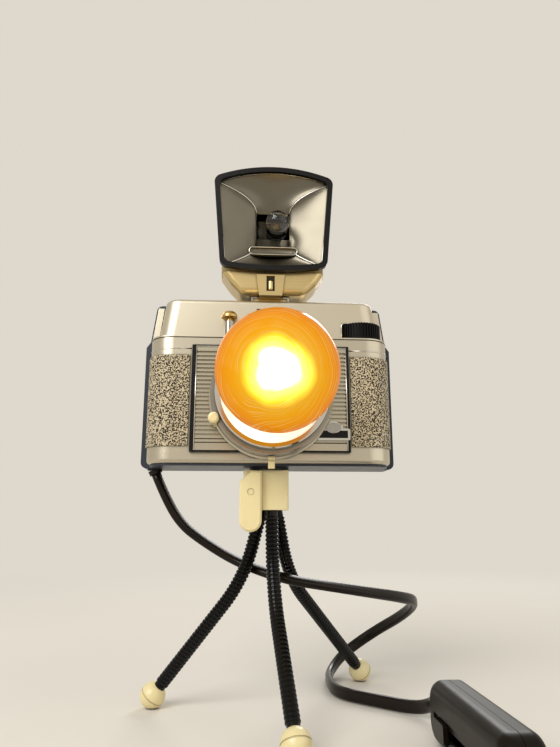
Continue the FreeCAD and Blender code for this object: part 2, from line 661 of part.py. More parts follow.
def plate(points, near, far, rounds=(), level="0"):
    """Pad an upright outline from near to far along Y and round chosen corners.

    rounds holds pairs: a radius, and a test of a corner's x and z."""
    body = doc.addObject("PartDesign::Body", "Plate")
    profile = sketch(body, "XZ_Plane")
    outline(profile, points)
    last = pad(body, profile, f"{far} - ({near})", True)
    for radius, chosen in rounds:
        last = soften(body, last, radius, lambda edge: along(edge, "y") and chosen(edge.Vertexes[0].Point))
    place(body, "0", near, level)
    return body


def rounded_box(x, y, z, radius, chosen):
    """A box between expressions, with the chosen edges rounded."""
    body = doc.addObject("PartDesign::Body", "RoundedBox")
    item = body.newObject("PartDesign::AdditiveBox", "Box")
    for side, (low, high) in (("Length", x), ("Width", y), ("Height", z)):
        item.setExpression(side, bound(f"{high} - ({low})"))
    soften(body, item, radius, chosen)
    return place(body, x[0], y[0], z[0])


def front_corners(edge):
    """The upright edges at the front of a box."""
    return along(edge, "z") and edge.Vertexes[0].Point.y < 0.001


def edge_drop(edge):
    """Height between the two ends of an edge."""
    return abs(edge.Vertexes[0].Point.z - edge.Vertexes[-1].Point.z)


def turned(axis, points, x, y, z):
    """A turned piece; points are pairs of radius and place along the axis."""
    body = doc.addObject("PartDesign::Body", "Turned")
    profile = sketch(body, "XY_Plane" if axis == "y" else "XZ_Plane")
    outline(profile, points)
    item = body.newObject("PartDesign::Revolution", "Revolution")
    item.Profile = profile
    item.ReferenceAxis = (profile, ["V_Axis"])
    item.Angle = 360
    return place(body, x, y, z)


# Tripod: legs as ribbed goosenecks, each in its own upright plane
def root_place(angle):
    """The pivot of a leg, on a ring that keeps the legs root_gap apart."""
    reach = number("(2 * leg_radius + root_gap) / sqrt(3)")
    turn = math.radians(angle)
    centre = vector("root_right", "screw_y + root_back", "root_height")
    return centre + FreeCAD.Vector(reach * math.cos(turn), reach * math.sin(turn), 0)


class Leg:
    """The line of one leg: straight, then an arc, then straight to its foot."""

    def __init__(self, root, foot, lean, bend):
        self.root = root
        self.foot = foot
        flat = FreeCAD.Vector(foot.x - root.x, foot.y - root.y, 0)
        self.out = FreeCAD.Vector(flat).normalize()
        self.side = FreeCAD.Vector(0, 0, 1).cross(self.out)
        self.straight = number("leg_straight")
        self.bend = bend
        self.lean = math.radians(lean)
        first = (self.straight * math.sin(self.lean), -self.straight * math.cos(self.lean))
        centre = (first[0] + bend * math.cos(self.lean), first[1] + bend * math.sin(self.lean))
        away = (flat.Length - centre[0], foot.z - root.z - centre[1])
        rest = math.sqrt(away[0] ** 2 + away[1] ** 2 - bend ** 2)
        self.splay = math.atan2(away[0], -away[1]) + math.atan2(bend, rest)
        self.centre = centre
        self.curve = bend * (self.splay - self.lean)
        self.last = rest
        self.length = self.straight + self.curve + rest

    def at(self, run):
        """Place and direction after a run along the line."""
        if run <= self.straight:
            angle = self.lean
            across = run * math.sin(angle)
            up = -run * math.cos(angle)
        else:
            angle = min(self.splay, self.lean + (run - self.straight) / self.bend)
            across = self.centre[0] - self.bend * math.cos(angle)
            up = self.centre[1] - self.bend * math.sin(angle)
            beyond = max(0.0, run - self.straight - self.curve)
            across += beyond * math.sin(angle)
            up -= beyond * math.cos(angle)
        place_here = self.root + self.out * across + FreeCAD.Vector(0, 0, up)
        direction = self.out * math.sin(angle) - FreeCAD.Vector(0, 0, math.cos(angle))
        return place_here, direction

    def circle(self, run, radius):
        """A closed circle across the line, with its X axis held steady."""
        spot, direction = self.at(run)
        turn = FreeCAD.Rotation(self.side, direction.cross(self.side), direction, "ZXY")
        wire = Part.Wire([Part.makeCircle(radius)])
        wire.Placement = FreeCAD.Placement(spot, turn)
        return wire


def leg_shape(leg):
    """A domed root, a plain neck, ribs of four circles each and a plain end."""
    core = number("leg_core")
    crown = number("leg_radius")
    pitch = number("rib_pitch")
    dome_angles = (78, 60, 40, 20)
    rib_circles = ((0.06, core), (0.3, crown), (0.7, crown), (0.94, core))
    circles = []
    for angle in dome_angles:
        turn = math.radians(angle)
        circles.append(leg.circle(-core * math.sin(turn), core * math.cos(turn)))
    run = number("leg_neck")
    end = leg.length - number("foot_radius + leg_fit")
    count = int((end - run) / pitch)
    circles.append(leg.circle(0.0, core))
    for _ in range(count):
        for share, radius in rib_circles:
            circles.append(leg.circle(run + share * pitch, radius))
        run += pitch
    circles.append(leg.circle(end + number("leg_end"), core))
    return Part.makeLoft(circles, True, True)


def on_line(item, leg, run):
    """Set a piece square to the line of a leg."""
    spot, direction = leg.at(run)
    turn = FreeCAD.Rotation(FreeCAD.Vector(0, 0, 1), direction)
    item.Placement = FreeCAD.Placement(spot, turn)
    return item


def foot_node(leg, label):
    """A ball foot with the leg's bore, a moulding seam and a flat to stand on."""
    body = doc.addObject("Part::Sphere", "Ball")
    body.setExpression("Radius", bound("foot_radius"))
    on_line(body, leg, leg.length)
    bore = doc.addObject("Part::Cylinder", "Bore")
    bore.setExpression("Radius", bound("leg_core + leg_fit"))
    bore.setExpression("Height", bound("foot_radius + leg_end + leg_fit * 4"))
    on_line(bore, leg, leg.length - 2 * number("foot_radius"))
    seam = doc.addObject("Part::Torus", "Seam")
    seam.setExpression("Radius1", bound("foot_radius"))
    seam.setExpression("Radius2", bound("foot_seam"))
    on_line(seam, leg, leg.length)
    under = block(("-foot_radius", "foot_radius"), ("-foot_radius", "foot_radius"), ("-foot_radius", "0"))
    place(under, f"{leg.foot.x} - foot_radius", f"{leg.foot.y} - foot_radius", "-foot_radius")
    return node(cut(body, bore, seam, under), label)


foot_z = number("foot_radius - foot_flat")
legs = {}
for label in ("left", "front", "right"):
    root = root_place(number(label + "_turn"))
    foot = FreeCAD.Vector(number(label + "_foot_x"), number(label + "_foot_y"), foot_z)
    legs[label] = Leg(root, foot, number(label + "_lean"), number(label + "_bend"))
    item = doc.addObject("Part::Feature", "Gooseneck")
    item.Shape = leg_shape(legs[label])
    node(item, label + "_leg")
    foot_node(legs[label], label + "_foot")
    print("leg", label, "root", [round(c, 3) for c in root], "length", round(legs[label].length, 1))

# Tripod head: block with three blind sockets and the screw's bore
head_sides = ("-head_left", "head_right")
head_depth = ("screw_y - head_front", "screw_y + head_back")
head = rounded_box(head_sides, head_depth, ("root_height", "root_height + head_tall"), "head_round",
                   lambda edge: along(edge, "z"))
sockets = []
for leg in legs.values():
    sockets.append(ball(str(leg.root.x), str(leg.root.y), "root_height", "leg_core + socket_gap"))
pin_hole = rod("y", "pivot_x", "0", "pivot_z", "pivot_radius", "screw_y - head_front - over",
               "screw_y - head_front + pivot_deep")
screw_hole = rod("z", "0", "screw_y", "0", "screw_radius", "seat_z - pad_thick - screw_deep", "seat_z")
node(cut(head, screw_hole, pin_hole, *sockets), "head_block")
node(cut(rod("z", "0", "screw_y", "0", "pad_radius", "seat_z - pad_thick", "seat_z"),
         rod("z", "0", "screw_y", "0", "screw_radius + skin_gap", "seat_z - pad_thick - over",
             "seat_z + over")), "head_pad")
node(rod("z", "0", "screw_y", "0", "screw_radius", "seat_z - pad_thick - screw_deep",
         "seat_z + bush_tall - bush_roof - end_gap"), "tripod_screw")
node(rod("y", "pivot_x", "0", "pivot_z", "pivot_radius", "lever_y + pivot_sunk",
         "screw_y - head_front + pivot_deep"), "lever_pin")

# Clamp lever: a bevelled tab with a rounded tail and one cut corner
lever = doc.addObject("PartDesign::Body", "Lever")
profile = sketch(lever, "XZ_Plane")
outline(profile, [("-lever_wide / 2", "lever_wide / 2 - lever_tall"),
                  ("lever_wide / 2", "lever_wide / 2 - lever_tall"),
                  ("lever_wide / 2", "0"), ("lever_corner - lever_wide / 2", "0"),
                  ("-lever_wide / 2", "-lever_cut")])
lever_pad = pad(lever, profile, "lever_thick", True)
profile = sketch(lever, "XZ_Plane", "0")
ring(profile, "0", "lever_wide / 2 - lever_tall", "lever_wide / 2")
lever_pad = pad(lever, profile, "lever_thick", True)
soften(lever, lever_pad, "lever_bevel", lambda edge: all(v.Point.y < 0.001 for v in edge.Vertexes), "Chamfer")
profile = sketch(lever, "XZ_Plane")
ring(profile, "0", "-pivot_drop", "pivot_radius + pin_fit")
pocket(lever, profile, "lever_thick")
place(lever, "pivot_x", "lever_y", "lever_top")
node(lever, "clamp_lever")

# Camera body: base plate, bush and front casing
casing_x = ("-casing_wide / 2", "casing_wide / 2")
base = rounded_box(("base_in - casing_wide / 2", "casing_wide / 2 - base_in"), ("front_y + base_in", "split_y"),
                   ("seat_z", "casing_z"), "corner_round - base_in", front_corners)
node(cut(base, rod("z", "0", "screw_y", "0", "bush_radius + skin_gap", "seat_z - over", "casing_z + over")),
     "base_plate")
bush = fuse(rod("z", "0", "screw_y", "0", "bush_radius", "seat_z", "seat_z + bush_tall"),
            rod("z", "0", "screw_y", "0", "bush_flange", "casing_z", "casing_z + base_thick"))
bush_bore = rod("z", "0", "screw_y", "0", "screw_radius + skin_gap", "seat_z - over",
                "seat_z + bush_tall - bush_roof")
node(cut(bush, bush_bore), "tripod_bush")
outer = rounded_box(casing_x, ("front_y", "split_y"), ("casing_z", "seam_z"), "corner_round", front_corners)
behind = number("casing_deep") - 0.001
soften(outer, outer.Tip, "casing_edge",
       lambda edge: all(v.Point.z < 0.001 for v in edge.Vertexes) and any(v.Point.y < behind for v in edge.Vertexes))
inner = rounded_box(("casing_wall - casing_wide / 2", "casing_wide / 2 - casing_wall"),
                    ("front_y + casing_wall", "split_y + over"), ("casing_z + casing_wall", "seam_z + over"),
                    "corner_round - casing_wall", front_corners)
bush_hole = rod("z", "0", "screw_y", "0", "bush_flange + skin_gap", "casing_z - over", "casing_z + casing_wall + over")
holder_hole = rod("y", "0", "0", "lens_z", "holder_radius + holder_room", "front_y - over", "split_y")
node(cut(outer, inner, holder_hole, bush_hole), "front_casing")

# Leathercloth on both sides of the front, round the upright corners
span = ("casing_z + grip_up", "casing_z + grip_up + grip_tall")
skins = []
for grow in ("(skin_gap + grip_thick)", "skin_gap"):
    skins.append(rounded_box((f"-casing_wide / 2 - {grow}", f"casing_wide / 2 + {grow}"),
                             (f"front_y - {grow}", "split_y"), span, f"corner_round + {grow}", front_corners))
band = cut(*skins)
behind_grip = block(("-rear_wide / 2", "rear_wide / 2"), ("front_y + grip_side", "split_y + over"), span)
between_grips = block(("-(plate_half + groove_left)", "plate_half + groove_right"),
                      ("front_y - corner_round", "split_y"), span)
node(cut(band, between_grips, behind_grip), "leather_grips")

# Ribbed plate between them
ribbed = doc.addObject("PartDesign::Body", "RibbedPlate")
profile = sketch(ribbed, "XZ_Plane")
outline(profile, [("-plate_half", "0"), ("plate_half", "0"), ("plate_half", "plate_tall"),
                  ("-plate_half", "plate_tall")])
pad(ribbed, profile, "plate_thick")
bars = [("0", "plate_bar"), ("plate_bar + bar_gap", "plate_bar + plate_step"),
        ("plate_bar + plate_step + bar_gap", "plate_bar + 2 * plate_step"),
        ("plate_tall - plate_edge", "plate_tall")]
for low, high in bars:
    profile = sketch(ribbed, "XZ_Plane", "plate_thick")
    outline(profile, [("-plate_half", low), ("plate_half", low), ("plate_half", high), ("-plate_half", high)])
    pad(ribbed, profile, "plate_rib")
profile = sketch(ribbed, "XZ_Plane", "plate_thick")
outline(profile, [("-plate_half", "first_rib"), ("plate_half", "first_rib"),
                  ("plate_half", "first_rib + plate_pitch / 2"),
                  ("-plate_half", "first_rib + plate_pitch / 2")])
rib = pad(ribbed, profile, "plate_rib")
doc.recompute()
ribs = ribbed.newObject("PartDesign::LinearPattern", "Ribs")
ribs.Originals = [rib]
ribs.Direction = ([part for part in ribbed.Origin.OriginFeatures if part.Role == "Z_Axis"][0], [""])
ribs.setExpression("Length", bound("plate_pitch * (plate_ribs - 1)"))
ribs.setExpression("Occurrences", bound("plate_ribs"))
ribbed.Tip = ribs
doc.recompute()
profile = sketch(ribbed, "XZ_Plane", "plate_thick + plate_rib")
ring(profile, "0", "lens_up - base_thick - plate_up", "holder_radius + holder_room")
pocket(ribbed, profile, "plate_thick + plate_rib")
place(ribbed, "0", "front_y", "casing_z + plate_up")
node(ribbed, "front_plate")

# Bare badge plate: a low rectangle with an oval rising from its middle
badge_y = ("plate_y - badge_thick", "plate_y")
oval = rod("y", "badge_x", "0", "badge_z + badge_tall", "badge_oval_tall / 2", *badge_y)
tablet = rounded_box(("badge_x - badge_wide / 2", "badge_x + badge_wide / 2"), badge_y,
                     ("badge_z", "badge_z + badge_tall"), "badge_corner", lambda edge: along(edge, "y"))
shield = block(("badge_x - badge_oval_wide / 2", "badge_x + badge_oval_wide / 2"), badge_y,
               ("badge_z", "badge_z + badge_tall + badge_shield"))
beside_flange = rod("y", "0", "0", "lens_z", "flange_radius + finder_gap", "plate_y - badge_thick - over",
                    "plate_y + over")
node(cut(fuse(tablet, shield, oval), beside_flange), "badge_plate")

# Top cover: a ledge over the casing and a raised hood with leaning sides
def hood(inset, near, far):
    """The hood drawn in by an inset, from near to far, open behind: leaning sides, upright front
    corners well rounded and a small rounding round its top."""
    half = f"(cover_half - {inset})"
    tall = f"(hood_tall - {inset})"
    points = [(f"-{half}", "0"), (half, "0"), (f"{half} - cover_lean", tall), (f"cover_lean - {half}", tall)]
    body = plate(points, near, far, (), "ledge_z")
    top = number(tall) - 0.001
    back = number(f"{far} - ({near})") - 0.001
    corners = soften(body, body.Tip, f"cover_corner - {inset}",
                     lambda edge: edge_drop(edge) > 1 and all(v.Point.y < 0.001 for v in edge.Vertexes))
    soften(body, corners, f"cover_round - {inset}",
           lambda edge: all(v.Point.z > top for v in edge.Vertexes) and any(v.Point.y < back for v in edge.Vertexes))
    return body


hood_outer = hood("0", "cover_front", "split_y")
hood_inner = hood("cover_wall", "cover_front + cover_wall", "split_y + over")
ledge = rounded_box(casing_x, ("front_y", "split_y"), ("seam_z", "ledge_z"), "corner_round", front_corners)
finder_x = ("-finder_left", "finder_right")
finder_z = ("seam_z + finder_low", "seam_z + finder_low + finder_tall")
finder_hole = block(finder_x, ("cover_front - over", "cover_front + cover_wall + over"), finder_z)
wheel_slot = block(("cover_half - slot_wide", "cover_half + over"), ("cover_front - over", "split_y + over"),
                   ("ledge_z", "ledge_z + slot_tall"))
axle_hole = rod("z", "wheel_x", "wheel_y", "0", "axle_radius", "seam_z - over", "top_z + over")
post_hole = rod("z", "post_x", "post_y", "0", "button_stem + stem_fit", "seam_z - over", "ledge_z + over")
cover = cut(fuse(cut(hood_outer, hood_inner), ledge), finder_hole, wheel_slot, axle_hole, post_hole)
node(cover, "top_cover")
node(block(("finder_gap - finder_left", "finder_right - finder_gap"),
           ("cover_front + finder_set", "cover_front + cover_wall"),
           (f"{finder_z[0]} + finder_gap", f"{finder_z[1]} - finder_gap")), "finder_window")

# Film advance wheel on its upright axle
wheel = doc.addObject("PartDesign::Body", "Wheel")
profile = sketch(wheel, "XY_Plane")
ring(profile, "0", "0", "wheel_radius")
ring(profile, "0", "0", "axle_radius + pin_fit")
pad(wheel, profile, "wheel_tall")
profile = sketch(wheel, "XY_Plane", "wheel_tall")
outline(profile, [("wheel_radius - wheel_rib", "-half_groove"), ("wheel_radius + over", "-half_groove"),
                  ("wheel_radius + over", "half_groove"), ("wheel_radius - wheel_rib", "half_groove")])
groove = pocket(wheel, profile, "wheel_tall - wheel_flange")
doc.recompute()
grooves = wheel.newObject("PartDesign::PolarPattern", "Grooves")
grooves.Originals = [groove]
grooves.Axis = ([part for part in wheel.Origin.OriginFeatures if part.Role == "Z_Axis"][0], [""])
grooves.Angle = 360
grooves.setExpression("Occurrences", bound("wheel_ribs"))
wheel.Tip = grooves
place(wheel, "wheel_x", "wheel_y", "ledge_z + wheel_gap")
node(wheel, "advance_wheel")
node(rod("z", "wheel_x", "wheel_y", "0", "axle_radius", "seam_z", "top_z - cover_wall / 2"), "wheel_axle")

# Shutter release: collar on the ledge, and a button whose stem slides in it
node(cut(rod("z", "post_x", "post_y", "0", "post_radius", "ledge_z", "ledge_z + post_tall"),
         rod("z", "post_x", "post_y", "0", "button_stem + stem_fit", "ledge_z - over",
             "ledge_z + post_tall + over")), "release_collar")
button_points = [("0", "0 - post_tall"), ("button_stem", "0 - post_tall"), ("button_stem", "0"),
                 ("button_radius", "0"), ("button_radius", "button_edge"),
                 ("button_radius - button_slope", "button_tall - button_crown"),
                 ("button_flat", "button_tall"), ("0", "button_tall")]
node(turned("z", button_points, "post_x", "post_y", "button_z"), "release_button")

# Accessory shoe on the top cover and the foot of the flash in it
shoe_y = ("shoe_front", "shoe_front + shoe_deep")
lip_z = ("rail_top - shoe_wall", "rail_top")
shoe = fuse(block(("-shoe_half", "shoe_half"), shoe_y, ("top_z", "shoe_z")),
            block(("-shoe_half", "shoe_wall - shoe_half"), shoe_y, ("top_z", "rail_top")),
            block(("shoe_half - shoe_wall", "shoe_half"), shoe_y, ("top_z", "rail_top")),
            block(("-shoe_half", "shoe_lip + shoe_wall - shoe_half"), shoe_y, lip_z),
            block(("shoe_half - shoe_wall - shoe_lip", "shoe_half"), shoe_y, lip_z))
node(shoe, "accessory_shoe")
foot_y = ("shoe_front + foot_back", "shoe_front + shoe_deep - foot_short")
flash_foot = fuse(block(("-foot_half", "foot_half"), foot_y, ("foot_z0", "foot_z0 + foot_thick")),
                  block(("-neck_half", "neck_half"), foot_y, ("foot_z0", "housing_z")))


# Flash head: rim, four-sided bowl, housing, bracket, bulb and socket
def flash_half(up):
    """Half width of the flash outline at a height above its lowest point."""
    return f"(flash_low / 2 + (flash_top - flash_low) / 2 * ({up}) / flash_tall)"


def flash_solid(inset, near, far, corner):
    """The flash outline as a solid: leaning sides between two arcs."""
    low = flash_half("0") + " - " + inset
    high = flash_half("flash_tall") + " - " + inset
    corners = [(f"flash_x - ({low})", "0"), (f"flash_x + {low}", "0"),
               (f"flash_x + {high}", "flash_tall"), (f"flash_x - ({high})", "flash_tall")]
    sides = plate(corners, near, far, (), "rim_low")
    top = rod("y", "flash_x", "0", "rim_low + flash_tall - top_arc", f"top_arc - {inset}", near, far)
    bottom = rod("y", "flash_x", "0", "rim_low + low_arc", f"low_arc - {inset}", near, far)
    solid = common(sides, top, bottom)
    doc.recompute()
    rounded = doc.addObject("Part::Fillet", "Corners")
    rounded.Base = solid
    picked = []
    for index, edge in enumerate(solid.Shape.Edges):
        if along(edge, "y"):
            picked.append((index + 1, number(corner), number(corner)))
    rounded.Edges = picked
    return rounded


rim_outer = flash_solid("0", "0", "rim_deep", "rim_corner")
rim_inner = flash_solid("rim_wide", "-over", "rim_deep + over", "rim_corner - rim_wide / 2")
node(cut(rim_outer, rim_inner), "flash_rim")


def four_sides(y, low, high, half_low, half_high, bulge_low, bulge_high):
    """A closed wire of two straight sides and two arcs, bulging by the given heights."""
    centre = number("flash_x")
    corners = [FreeCAD.Vector(centre - half_low, y, low), FreeCAD.Vector(centre + half_low, y, low),
               FreeCAD.Vector(centre + half_high, y, high), FreeCAD.Vector(centre - half_high, y, high)]
    bottom = Part.Arc(corners[0], FreeCAD.Vector(centre, y, low - bulge_low), corners[1])
    top = Part.Arc(corners[2], FreeCAD.Vector(centre, y, high + bulge_high), corners[3])
    sides = [Part.LineSegment(corners[1], corners[2]), Part.LineSegment(corners[3], corners[0])]
    return Part.Wire([bottom.toShape(), sides[0].toShape(), top.toShape(), sides[1].toShape()])


def bowl_skin(grow):
    """One skin of the bowl: wide at the rim, then closing steeply to its hole."""
    base = number("rim_low")
    front = number("rim_deep + skin_gap")
    deep = number("bowl_deep")
    inset = number("rim_wide - bowl_tuck") - grow
    mouth_low = number(flash_half("0")) - inset
    mouth_high = number(flash_half("flash_tall")) - inset
    drop_high = number("top_arc") - math.sqrt(number("top_arc") ** 2 - mouth_high ** 2)
    drop_low = number("low_arc") - math.sqrt(number("low_arc") ** 2 - mouth_low ** 2)
    mouth = four_sides(front, base + inset + drop_low, base + number("flash_tall") - inset - drop_high,
                       mouth_low, mouth_high, drop_low, drop_high)
    hole = number("hole_half") + grow
    hole_low = base + number("hole_up") - grow
    hole_high = base + number("hole_up + hole_tall") + grow
    bulge = number("hole_bulge")
    throat = four_sides(front + deep, hole_low, hole_high, hole, hole, bulge, bulge)
    share = number("bowl_waist")
    mouth_top = base + number("flash_tall") - inset - drop_high
    middle = four_sides(front + deep * number("bowl_knee"), hole_low + (base + inset - hole_low) * share,
                        hole_high + (mouth_top - hole_high) * share,
                        hole + (mouth_low - hole) * share, hole + (mouth_high - hole) * share,
                        bulge + drop_low * share, bulge + drop_high * share)
    return Part.makeLoft([mouth, middle, throat], True, False)


bowl = doc.addObject("Part::Feature", "Bowl")
bowl.Shape = bowl_skin(number("bowl_wall")).cut(bowl_skin(0.0))
node(bowl, "flash_reflector")

housing_points = [("flash_x - housing_low", "0"), ("flash_x + housing_low", "0"),
                  ("flash_x + housing_top - housing_in", "housing_knee"),
                  ("flash_x + housing_top", "rim_low - housing_z + housing_lip"),
                  ("flash_x + housing_top", "housing_rise"), ("flash_x - housing_top", "housing_rise"),
                  ("flash_x - housing_top", "rim_low - housing_z + housing_lip"),
                  ("flash_x + housing_in - housing_top", "housing_knee")]
knee_low = number("housing_knee") - 0.001
knee_high = number("housing_knee") + 0.001
housing = plate(housing_points, "housing_front", "housing_back",
                [("housing_round", lambda point: point.z < 0.001),
                 ("housing_bend", lambda point: knee_low < point.z < knee_high)], "housing_z")
housing_cap = number("housing_rise") - 0.001
soften(housing, housing.Tip, "housing_edge",
       lambda edge: all(v.Point.y < 0.001 for v in edge.Vertexes) and any(v.Point.z < housing_cap for v in edge.Vertexes))
behind_bowl = block(("flash_x - housing_top - over", "flash_x + housing_top + over"),
                    ("housing_front - over", "rim_deep + bowl_deep + bowl_wall + housing_gap"),
                    ("rim_low + rim_gap", "housing_z + housing_rise + over"))
housing_hollow = block(("flash_x - housing_low + housing_side", "flash_x + housing_low - housing_side"),
                       ("housing_front + housing_wall", "housing_back - housing_wall"),
                       ("housing_z + housing_wall", "rim_low - housing_roof"))
socket_seat = rod("y", "bulb_x", "0", "bulb_z", "socket_radius + skin_gap", "housing_front",
                  "housing_back - housing_wall")
node(cut(housing, behind_bowl, housing_hollow, socket_seat), "flash_housing")
bracket_front = "housing_front - bracket_thick - skin_gap"
bracket = plate([("-bracket_low", "0"), ("bracket_low", "0"), ("bracket_top", "bracket_rise"),
                 ("-bracket_top", "bracket_rise")], bracket_front, "housing_front - skin_gap", (),
                "foot_z0 + foot_thick")
arm = block(("-bracket_low", "bracket_low"), (bracket_front, foot_y[0]),
            ("foot_z0 + foot_thick", "housing_z - skin_gap"))
slot = block(("-bracket_slot", "bracket_slot"), ("housing_front - 2 * bracket_thick", "housing_front"),
             ("slot_low", "slot_low + slot_high"))
node(cut(fuse(flash_foot, bracket, arm), slot), "flash_stand")
socket = cut(rod("y", "bulb_x", "0", "bulb_z", "socket_radius", "socket_y", "socket_y + socket_deep"),
             rod("y", "bulb_x", "0", "bulb_z", "bulb_base + cap_gap", "socket_y - over",
                 "socket_y + socket_deep - socket_floor"))
node(socket, "flash_socket")
glass = fuse(ball("bulb_x", "bulb_y", "bulb_z", "bulb_radius"),
             rod("y", "bulb_x", "0", "bulb_z", "bulb_waist", "bulb_y", "socket_y - bulb_slope"),
             taper("y", "bulb_x", "0", "bulb_z", "bulb_waist", "bulb_base", "socket_y - bulb_slope", "socket_y"))
node(glass, "flash_bulb")
node(rod("y", "bulb_x", "0", "bulb_z", "bulb_base", "socket_y", "socket_y + base_long"), "flash_bulb_base")


# Lens rings round the lampholder, all turned about the lens axis
def lens_turned(points, label=""):
    """A ring about the lens axis; places along it count forward from the ribbed plate."""
    pairs = [(radius, f"0 - ({ahead})") for radius, ahead in points]
    item = turned("y", pairs, "0", "plate_y", "lens_z")
    return node(item, label) if label else item


lens_turned([("holder_radius + skin_gap", "0"), ("flange_radius", "0"),
             ("flange_radius", "flange_thick - flange_bevel"), ("flange_radius - flange_bevel", "flange_thick"),
             ("holder_radius + skin_gap", "flange_thick")], "lens_flange")
lens_turned([("barrel_radius - barrel_wall", "flange_thick"), ("barrel_radius", "flange_thick"),
             ("barrel_radius", "flange_thick + groove_front"),
             ("barrel_radius - barrel_groove", "flange_thick + groove_front + groove_slope"),
             ("barrel_radius - barrel_groove", "flange_thick + groove_front + groove_slope + groove_wide"),
             ("barrel_radius", "flange_thick + groove_front + 2 * groove_slope + groove_wide"),
             ("barrel_radius", "barrel_front - barrel_bevel"), ("barrel_radius - barrel_bevel", "barrel_front"),
             ("barrel_radius - barrel_wall", "barrel_front")], "lens_barrel")
lens_turned([("lip_radius - lip_wall", "barrel_front"), ("lip_radius", "barrel_front"),
             ("lip_radius", "lip_front - lip_bevel"), ("lip_radius - lip_bevel", "lip_front"),
             ("lip_radius - lip_wall", "lip_front")], "lip_ring")
lens_turned([("holder_radius + cone_fit", "cone_rear"), ("holder_radius + cone_fit + cone_wall", "cone_rear"),
             ("cone_waist", "barrel_front - cone_seat"), ("cone_waist", "barrel_front"), ("cone_mouth", "cone_rim"),
             ("cone_mouth - cone_wall", "cone_rim"), ("cone_waist - cone_wall", "barrel_front")], "inner_cone")
lens_turned([("0", "sleeve_back - holder_floor"), ("sleeve_outer + skin_gap", "sleeve_back - holder_floor"),
             ("sleeve_outer + skin_gap", "holder_front"), ("holder_radius - holder_bevel", "holder_front"),
             ("holder_radius", "holder_front - holder_bevel"), ("holder_radius", "0 - holder_back"),
             ("holder_radius / 2", "0 - holder_back - boss_long"),
             ("holder_radius / 2 - boss_wall", "0 - holder_back - boss_long"),
             ("holder_radius / 2 - boss_wall", "0 - holder_back + holder_wall"),
             ("0", "0 - holder_back + holder_wall")], "lampholder")
sleeve_span = ("sleeve_back + sleeve_set", "holder_front - sleeve_set")
brass_sleeve = lens_turned([("sleeve_inner", sleeve_span[0]), ("sleeve_outer", sleeve_span[0]),
                            ("sleeve_outer", sleeve_span[1]), ("sleeve_inner", sleeve_span[1])])
contact_span = ("sleeve_back - contact_thick - cap_gap", "sleeve_back - cap_gap")
centre_contact = lens_turned([("0", contact_span[0]), ("pip_radius + contact_rim", contact_span[0]),
                              ("pip_radius + contact_rim", contact_span[1]), ("0", contact_span[1])])
contacts = doc.addObject("Part::Compound", "Contacts")
contacts.Links = [brass_sleeve, centre_contact]
node(contacts, "holder_contacts")

# Bulb: cap, end contact, globe and lit core
lens_turned([("0", "cap_rear"), ("cap_radius - cap_in", "cap_rear"), ("cap_radius", "cap_rear + cap_slope"),
             ("cap_radius", "neck_back"), ("0", "neck_back")], "bulb_cap")
lens_turned([("0", "cap_rear - pip_deep"), ("pip_flat", "cap_rear - pip_deep"),
             ("pip_radius", "cap_rear - pip_deep + pip_round"), ("pip_radius", "cap_rear - skin_gap"),
             ("0", "cap_rear - skin_gap")], "bulb_contact")


def globe_solid(inset, back):
    """The globe with its flared neck, drawn in by an inset."""
    flare = f"(sqrt(globe_radius * globe_radius - pow(flare_y - globe_y; 2)) - {inset})"
    return fuse(ball("0", "globe_y", "lens_z", f"globe_radius - {inset}"),
                taper("y", "0", "0", "lens_z", flare, f"neck_radius - {inset}", "flare_y", "blend_y"),
                rod("y", "0", "0", "lens_z", f"neck_radius - {inset}", "blend_y", back))


node(cut(globe_solid("0", "neck_end"), globe_solid("globe_wall", "neck_end - neck_floor")), "globe")
core = fuse(ball("0", "core_y", "lens_z", "core_radius"),
            rod("y", "0", "0", "lens_z", "stem_radius", "core_y", "neck_end - neck_floor - cap_gap"))
node(core, "lit_core")


# Small levers that hug the barrel
def hug(near, far, angle, half):
    """A short band round the barrel, centred on an angle in degrees."""
    band = cut(rod("y", "0", "0", "lens_z", "barrel_radius + lever_hug + hug_thick", near, far),
               rod("y", "0", "0", "lens_z", "barrel_radius + lever_hug", f"{near} - over", f"{far} + over"))
    reach = "(2 * barrel_radius)"
    wedge = doc.addObject("Part::Wedge", "Sector")
    deep = f"{far} - ({near}) + 2 * over"
    for side, text in (("Xmin", "0"), ("Xmax", reach), ("Ymin", "0"), ("Ymax", deep),
                       ("Zmin", f"-{half}"), ("Zmax", half), ("X2min", "0"), ("X2max", reach),
                       ("Z2min", f"-{half}"), ("Z2max", half)):
        wedge.setExpression(side, bound(text))
    wedge.Placement.Rotation = FreeCAD.Rotation(FreeCAD.Vector(0, 1, 0), -number(angle))
    place(wedge, "0", f"{near} - over", "lens_z")
    return common(band, wedge)


def radial_block(angle, inside, outside, half, near, far):
    """A block pointing out from the lens axis at an angle in degrees."""
    item = doc.addObject("Part::Box", "Radial")
    item.setExpression("Length", bound(f"{outside} - ({inside})"))
    item.setExpression("Width", bound(f"{far} - ({near})"))
    item.setExpression("Height", bound(f"2 * {half}"))
    turn = FreeCAD.Rotation(FreeCAD.Vector(0, 1, 0), -number(angle))
    start = turn.multVec(FreeCAD.Vector(number(inside), 0, -number(half)))
    item.Placement.Rotation = turn
    return place(item, str(round(start.x, 6)), near, f"lens_z + {round(start.z, 6)}")


